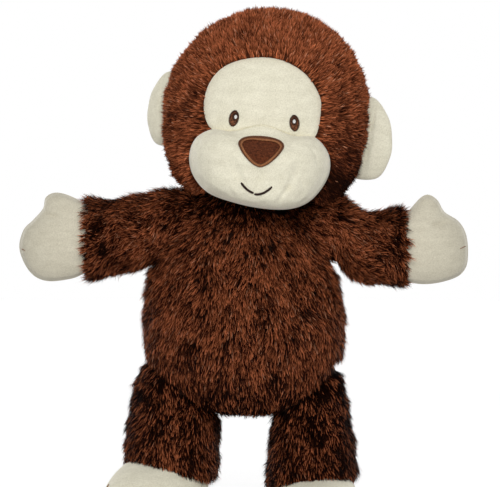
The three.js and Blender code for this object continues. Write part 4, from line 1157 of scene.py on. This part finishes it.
for side, sign, seed, hand_lift, root_lift, rise_run, finger_level, finger_run, girth, hand_points in (
    ("left", 1, 31, -3.8, 8.8, 17, 0.5, 3.6, (17.5, 23, 21.3), left_hand),
    ("right", -1, 32, 0.6, 6.2, 38, -5.5, 2.2, (20, 23, 22.8), right_hand),
):
    sleeve_line = bezier(list(zip(girth, (-SLEEVE_ROOT, 8, SLEEVE - CUFF_INSIDE))), np.linspace(0, 1, 30))
    hand_outline = smooth_outline(hand_points, 120)
    hand_height = inflated(hand_outline, HAND_HALF_THICK)

    def on_arm(local, sign=sign, hand_lift=hand_lift, root_lift=root_lift, rise_run=rise_run):
        x, y, z = np.asarray(local, float).T
        raised = hand_lift + root_lift * np.clip(1 - x / rise_run, 0, 1.15) ** 2
        return np.stack([sign * x + sign * SHOULDER_X, y, z + (SHOULDER_Z + raised)], 1)

    rows = []
    for radius, run in sleeve_line:
        half = radius - PILE_HEIGHT * (1 - 0.6 * fade(run, 24, 36))
        depth = half * SLEEVE_DEEP / SLEEVE_HIGH
        rows.append(on_arm(np.stack([np.full(COLUMNS, run), depth * np.cos(turns), half * np.sin(turns)], 1)))
    backing = skin(f"{side}_arm_backing", rows, backing_material)

    def arm_flow(p, n, sign=sign):
        return np.broadcast_to((sign * 1.0, 0, -0.75), p.shape)

    # Painted light and shade along the arm, a little lighter on the left arm, with lighter strands in patches
    # at the cuff's edge.
    def arm_painted_light(p, sign=sign):
        level = np.interp(np.abs(p[:, 0]), ARM_PAINTED_LIGHT_AT, ARM_PAINTED_LIGHT)
        return (0.92 + 0.08 * sign) * level + 2.2 * at_cuff(p) ** 4 * np.clip(fringe(p) + 0.35, 0, 1)

    fur = pile(
        f"{side}_arm_pile", backing, ARM_STRANDS, seed, arm_keep,
        arm_flow, level_lean, arm_painted_light, ruffle=0.36, length=arm_length,
    )
    for obj, node in ((backing, f"{side}_arm_filling"), (fur, f"{side}_arm_sleeve")):
        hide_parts(node)
        start, end = (in_metres((sign * x, 0, SHOULDER_Z)) for x in SLEEVE_BEND)
        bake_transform(obj)

    for face, way in (("palm", -1), ("back", 1)):
        rows = []
        for share in cap_shares(30):
            x, z = (hand_middle + (hand_outline - hand_middle) * share).T
            from_crease = z - (CREASE_LEVEL + CREASE_SLOPE * (x - CREASE_FROM))
            along_crease = np.sin(math.pi * fade(x, CREASE_FROM, CREASE_TO)) ** 0.7
            crease = CREASE_DEEP * np.exp(-((from_crease / CREASE_WIDE) ** 2)) * along_crease
            height = np.maximum(hand_height(x, z) - crease, 0) * min(1, 14 * (1 - share))
            rows.append(on_arm(np.stack([x + SLEEVE, way * height, z], 1)))
        hand = skin(f"{side}_hand_{face}_cloth", rows, shaded_hand_velour)
        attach(hand, f"{side}_arm")
        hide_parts(f"{side}_hand_{face}")
    run = np.linspace(0, 1, 8)
    x = hand_outline[:, 0].max() - 1.6 - finger_run * run
    z = finger_level - 0.4 * finger_run * run
    line = np.stack([x + SLEEVE, -hand_height(x, z), z], 1)
    threads(f"{side}_finger_line", [on_arm(line)], 0.2, brown_thread, f"{side}_arm")

# Legs: fur sleeves over filling, sewn under the torso.
# Each stands on a stuffed foot of cream velour, with a flat sole sewn round its edge and stitched toe lines.
LEG_DEEP, LEG_WIDE, LEG_BEND, SLEEVE_HEM = 18.2, 19.7, (96, 66), 43
FOOT_SWELL = ((0.9, 0.88), (1.08, 1.07), (1.02, 1.05), (0.56, 0.72))
FOOT_HALF_LONG, FOOT_HALF_WIDE, HEEL_Y, SOLE_THICK = 36, 26, 24, 1.9
SOLE_EDGE = ((-6, 0.05), (-1, 0), (0.3, 0.6), (0, 1.7))
TOE_ANGLE, TOE_FROM, TOE_TO = 0.45, 0.25, 0.64
LEG_STRANDS = 42000


def leg_keep(p, n):
    return (in_torso(p, 2) < 0) & (np.abs(n[:, 2]) < 0.8) & (p[:, 2] < LEG_ROOT_TO)


for side, sign, seed, apart_by, lean, toes_out, hem_tilt, sleeve_end, girth in (
    ("left", 1, 41, 0, 0, 5, 0.12, -47, (26.7, 26, 15)), ("right", -1, 42, 3, 3, 40, 0.22, -40, (27, 30, 20)),
):
    leg_x = LEG_X + apart_by
    slope = math.tan(math.radians(lean))
    leg_line = bezier(list(zip(girth, (sleeve_end, -20, 27))), np.linspace(0, 1, 34))
    rows = []
    for radius, run in leg_line:
        radius *= math.sqrt(1 - 0.45 * (max(run - 6, 0) / 21) ** 2)
        half = radius - PILE_HEIGHT
        hem = hem_tilt * half * np.cos(turns) * fade(run, 0, -SLEEVE_HEM) ** 2
        depth = half * LEG_DEEP / LEG_WIDE
        ring = np.stack([half * np.cos(turns) - slope * run, depth * np.sin(turns), run + hem], 1)
        rows.append(ring * (sign, 1, 1) + (sign * leg_x, 0, HIP_Z))
    backing = skin(f"{side}_leg_backing", rows, backing_material)

    def leg_flow(p, n, sign=sign):
        return n * (0.5, 0.5, 0) + (sign * 0.12, 0, -1)

    # The legs' pile is painted dark as shade: darker on the left leg and darker still at its top, under the
    # belly.
    def leg_painted_light(p, sign=sign):
        return np.maximum(0.13 - 0.045 * sign - 0.08 * fade(p[:, 2], 52, 70), 0.03)

    fur = pile(f"{side}_leg_pile", backing, LEG_STRANDS, seed, leg_keep, leg_flow, level_lean, leg_painted_light)
    for obj, node in ((backing, f"{side}_leg_filling"), (fur, f"{side}_leg_sleeve")):
        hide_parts(node)
        start, end = (in_metres((sign * LEG_X, 0, z)) for z in LEG_BEND)
        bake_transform(obj)

    splay = math.radians(toes_out)
    foot_x = leg_x + slope * SLEEVE_HEM
    foot_top = HIP_Z + sleeve_end + 2

    def on_foot(local, sign=sign, splay=splay, foot_x=foot_x, hem_tilt=hem_tilt, foot_top=foot_top):
        p = np.asarray(local, float)
        x, y = turned(p[:, 0], p[:, 1], splay)
        z = p[:, 2] + hem_tilt * x * fade(p[:, 2], 0, foot_top) ** 2
        return np.stack([sign * (foot_x + x), y, z], 1)

    def foot_ring(share, angle, wider=0.0, foot_top=foot_top):
        length, width = bezier(FOOT_SWELL, (share,))[0]
        half, wide = FOOT_HALF_LONG * length, FOOT_HALF_WIDE * width
        x = (wide + wider) * np.sin(angle)
        y = HEEL_Y - 3 * share - half - (half + wider) * np.cos(angle)
        return np.stack([x, y, np.broadcast_to(SOLE_THICK + share * (foot_top - SOLE_THICK), x.shape)], 1)

    rows = [on_foot(foot_ring(share, turns)) for share in np.linspace(0, 1, 22)]
    rows.append(on_foot(foot_ring(1.0, turns, -2) + (0, 0, 4)))
    rows.append(on_foot(foot_ring(1.0, turns, -8) + (0, 0, 5)))
    upper_cloth = skin(f"{side}_foot_cloth", rows, cream_velour)
    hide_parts(f"{side}_foot_upper")
    sole_rows = [on_foot(foot_ring(0.0, turns, wider) * (1, 1, 0) + (0, 0, z)) for wider, z in SOLE_EDGE]
    sole = skin(f"{side}_sole_cloth", sole_rows, cream_velour)
    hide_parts(f"{side}_foot_sole")
    for obj in (upper_cloth, sole):
        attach(obj, f"{side}_leg")
    toe_paths = []
    for angle in (-TOE_ANGLE, TOE_ANGLE):
        run = np.linspace(TOE_FROM, TOE_TO, 9)
        toe_paths.append(np.vstack([on_foot(foot_ring(share, np.array((angle,)), 0.2)) for share in run]))
    threads(f"{side}_toe_lines", toe_paths, 0.5, brown_thread, f"{side}_leg")
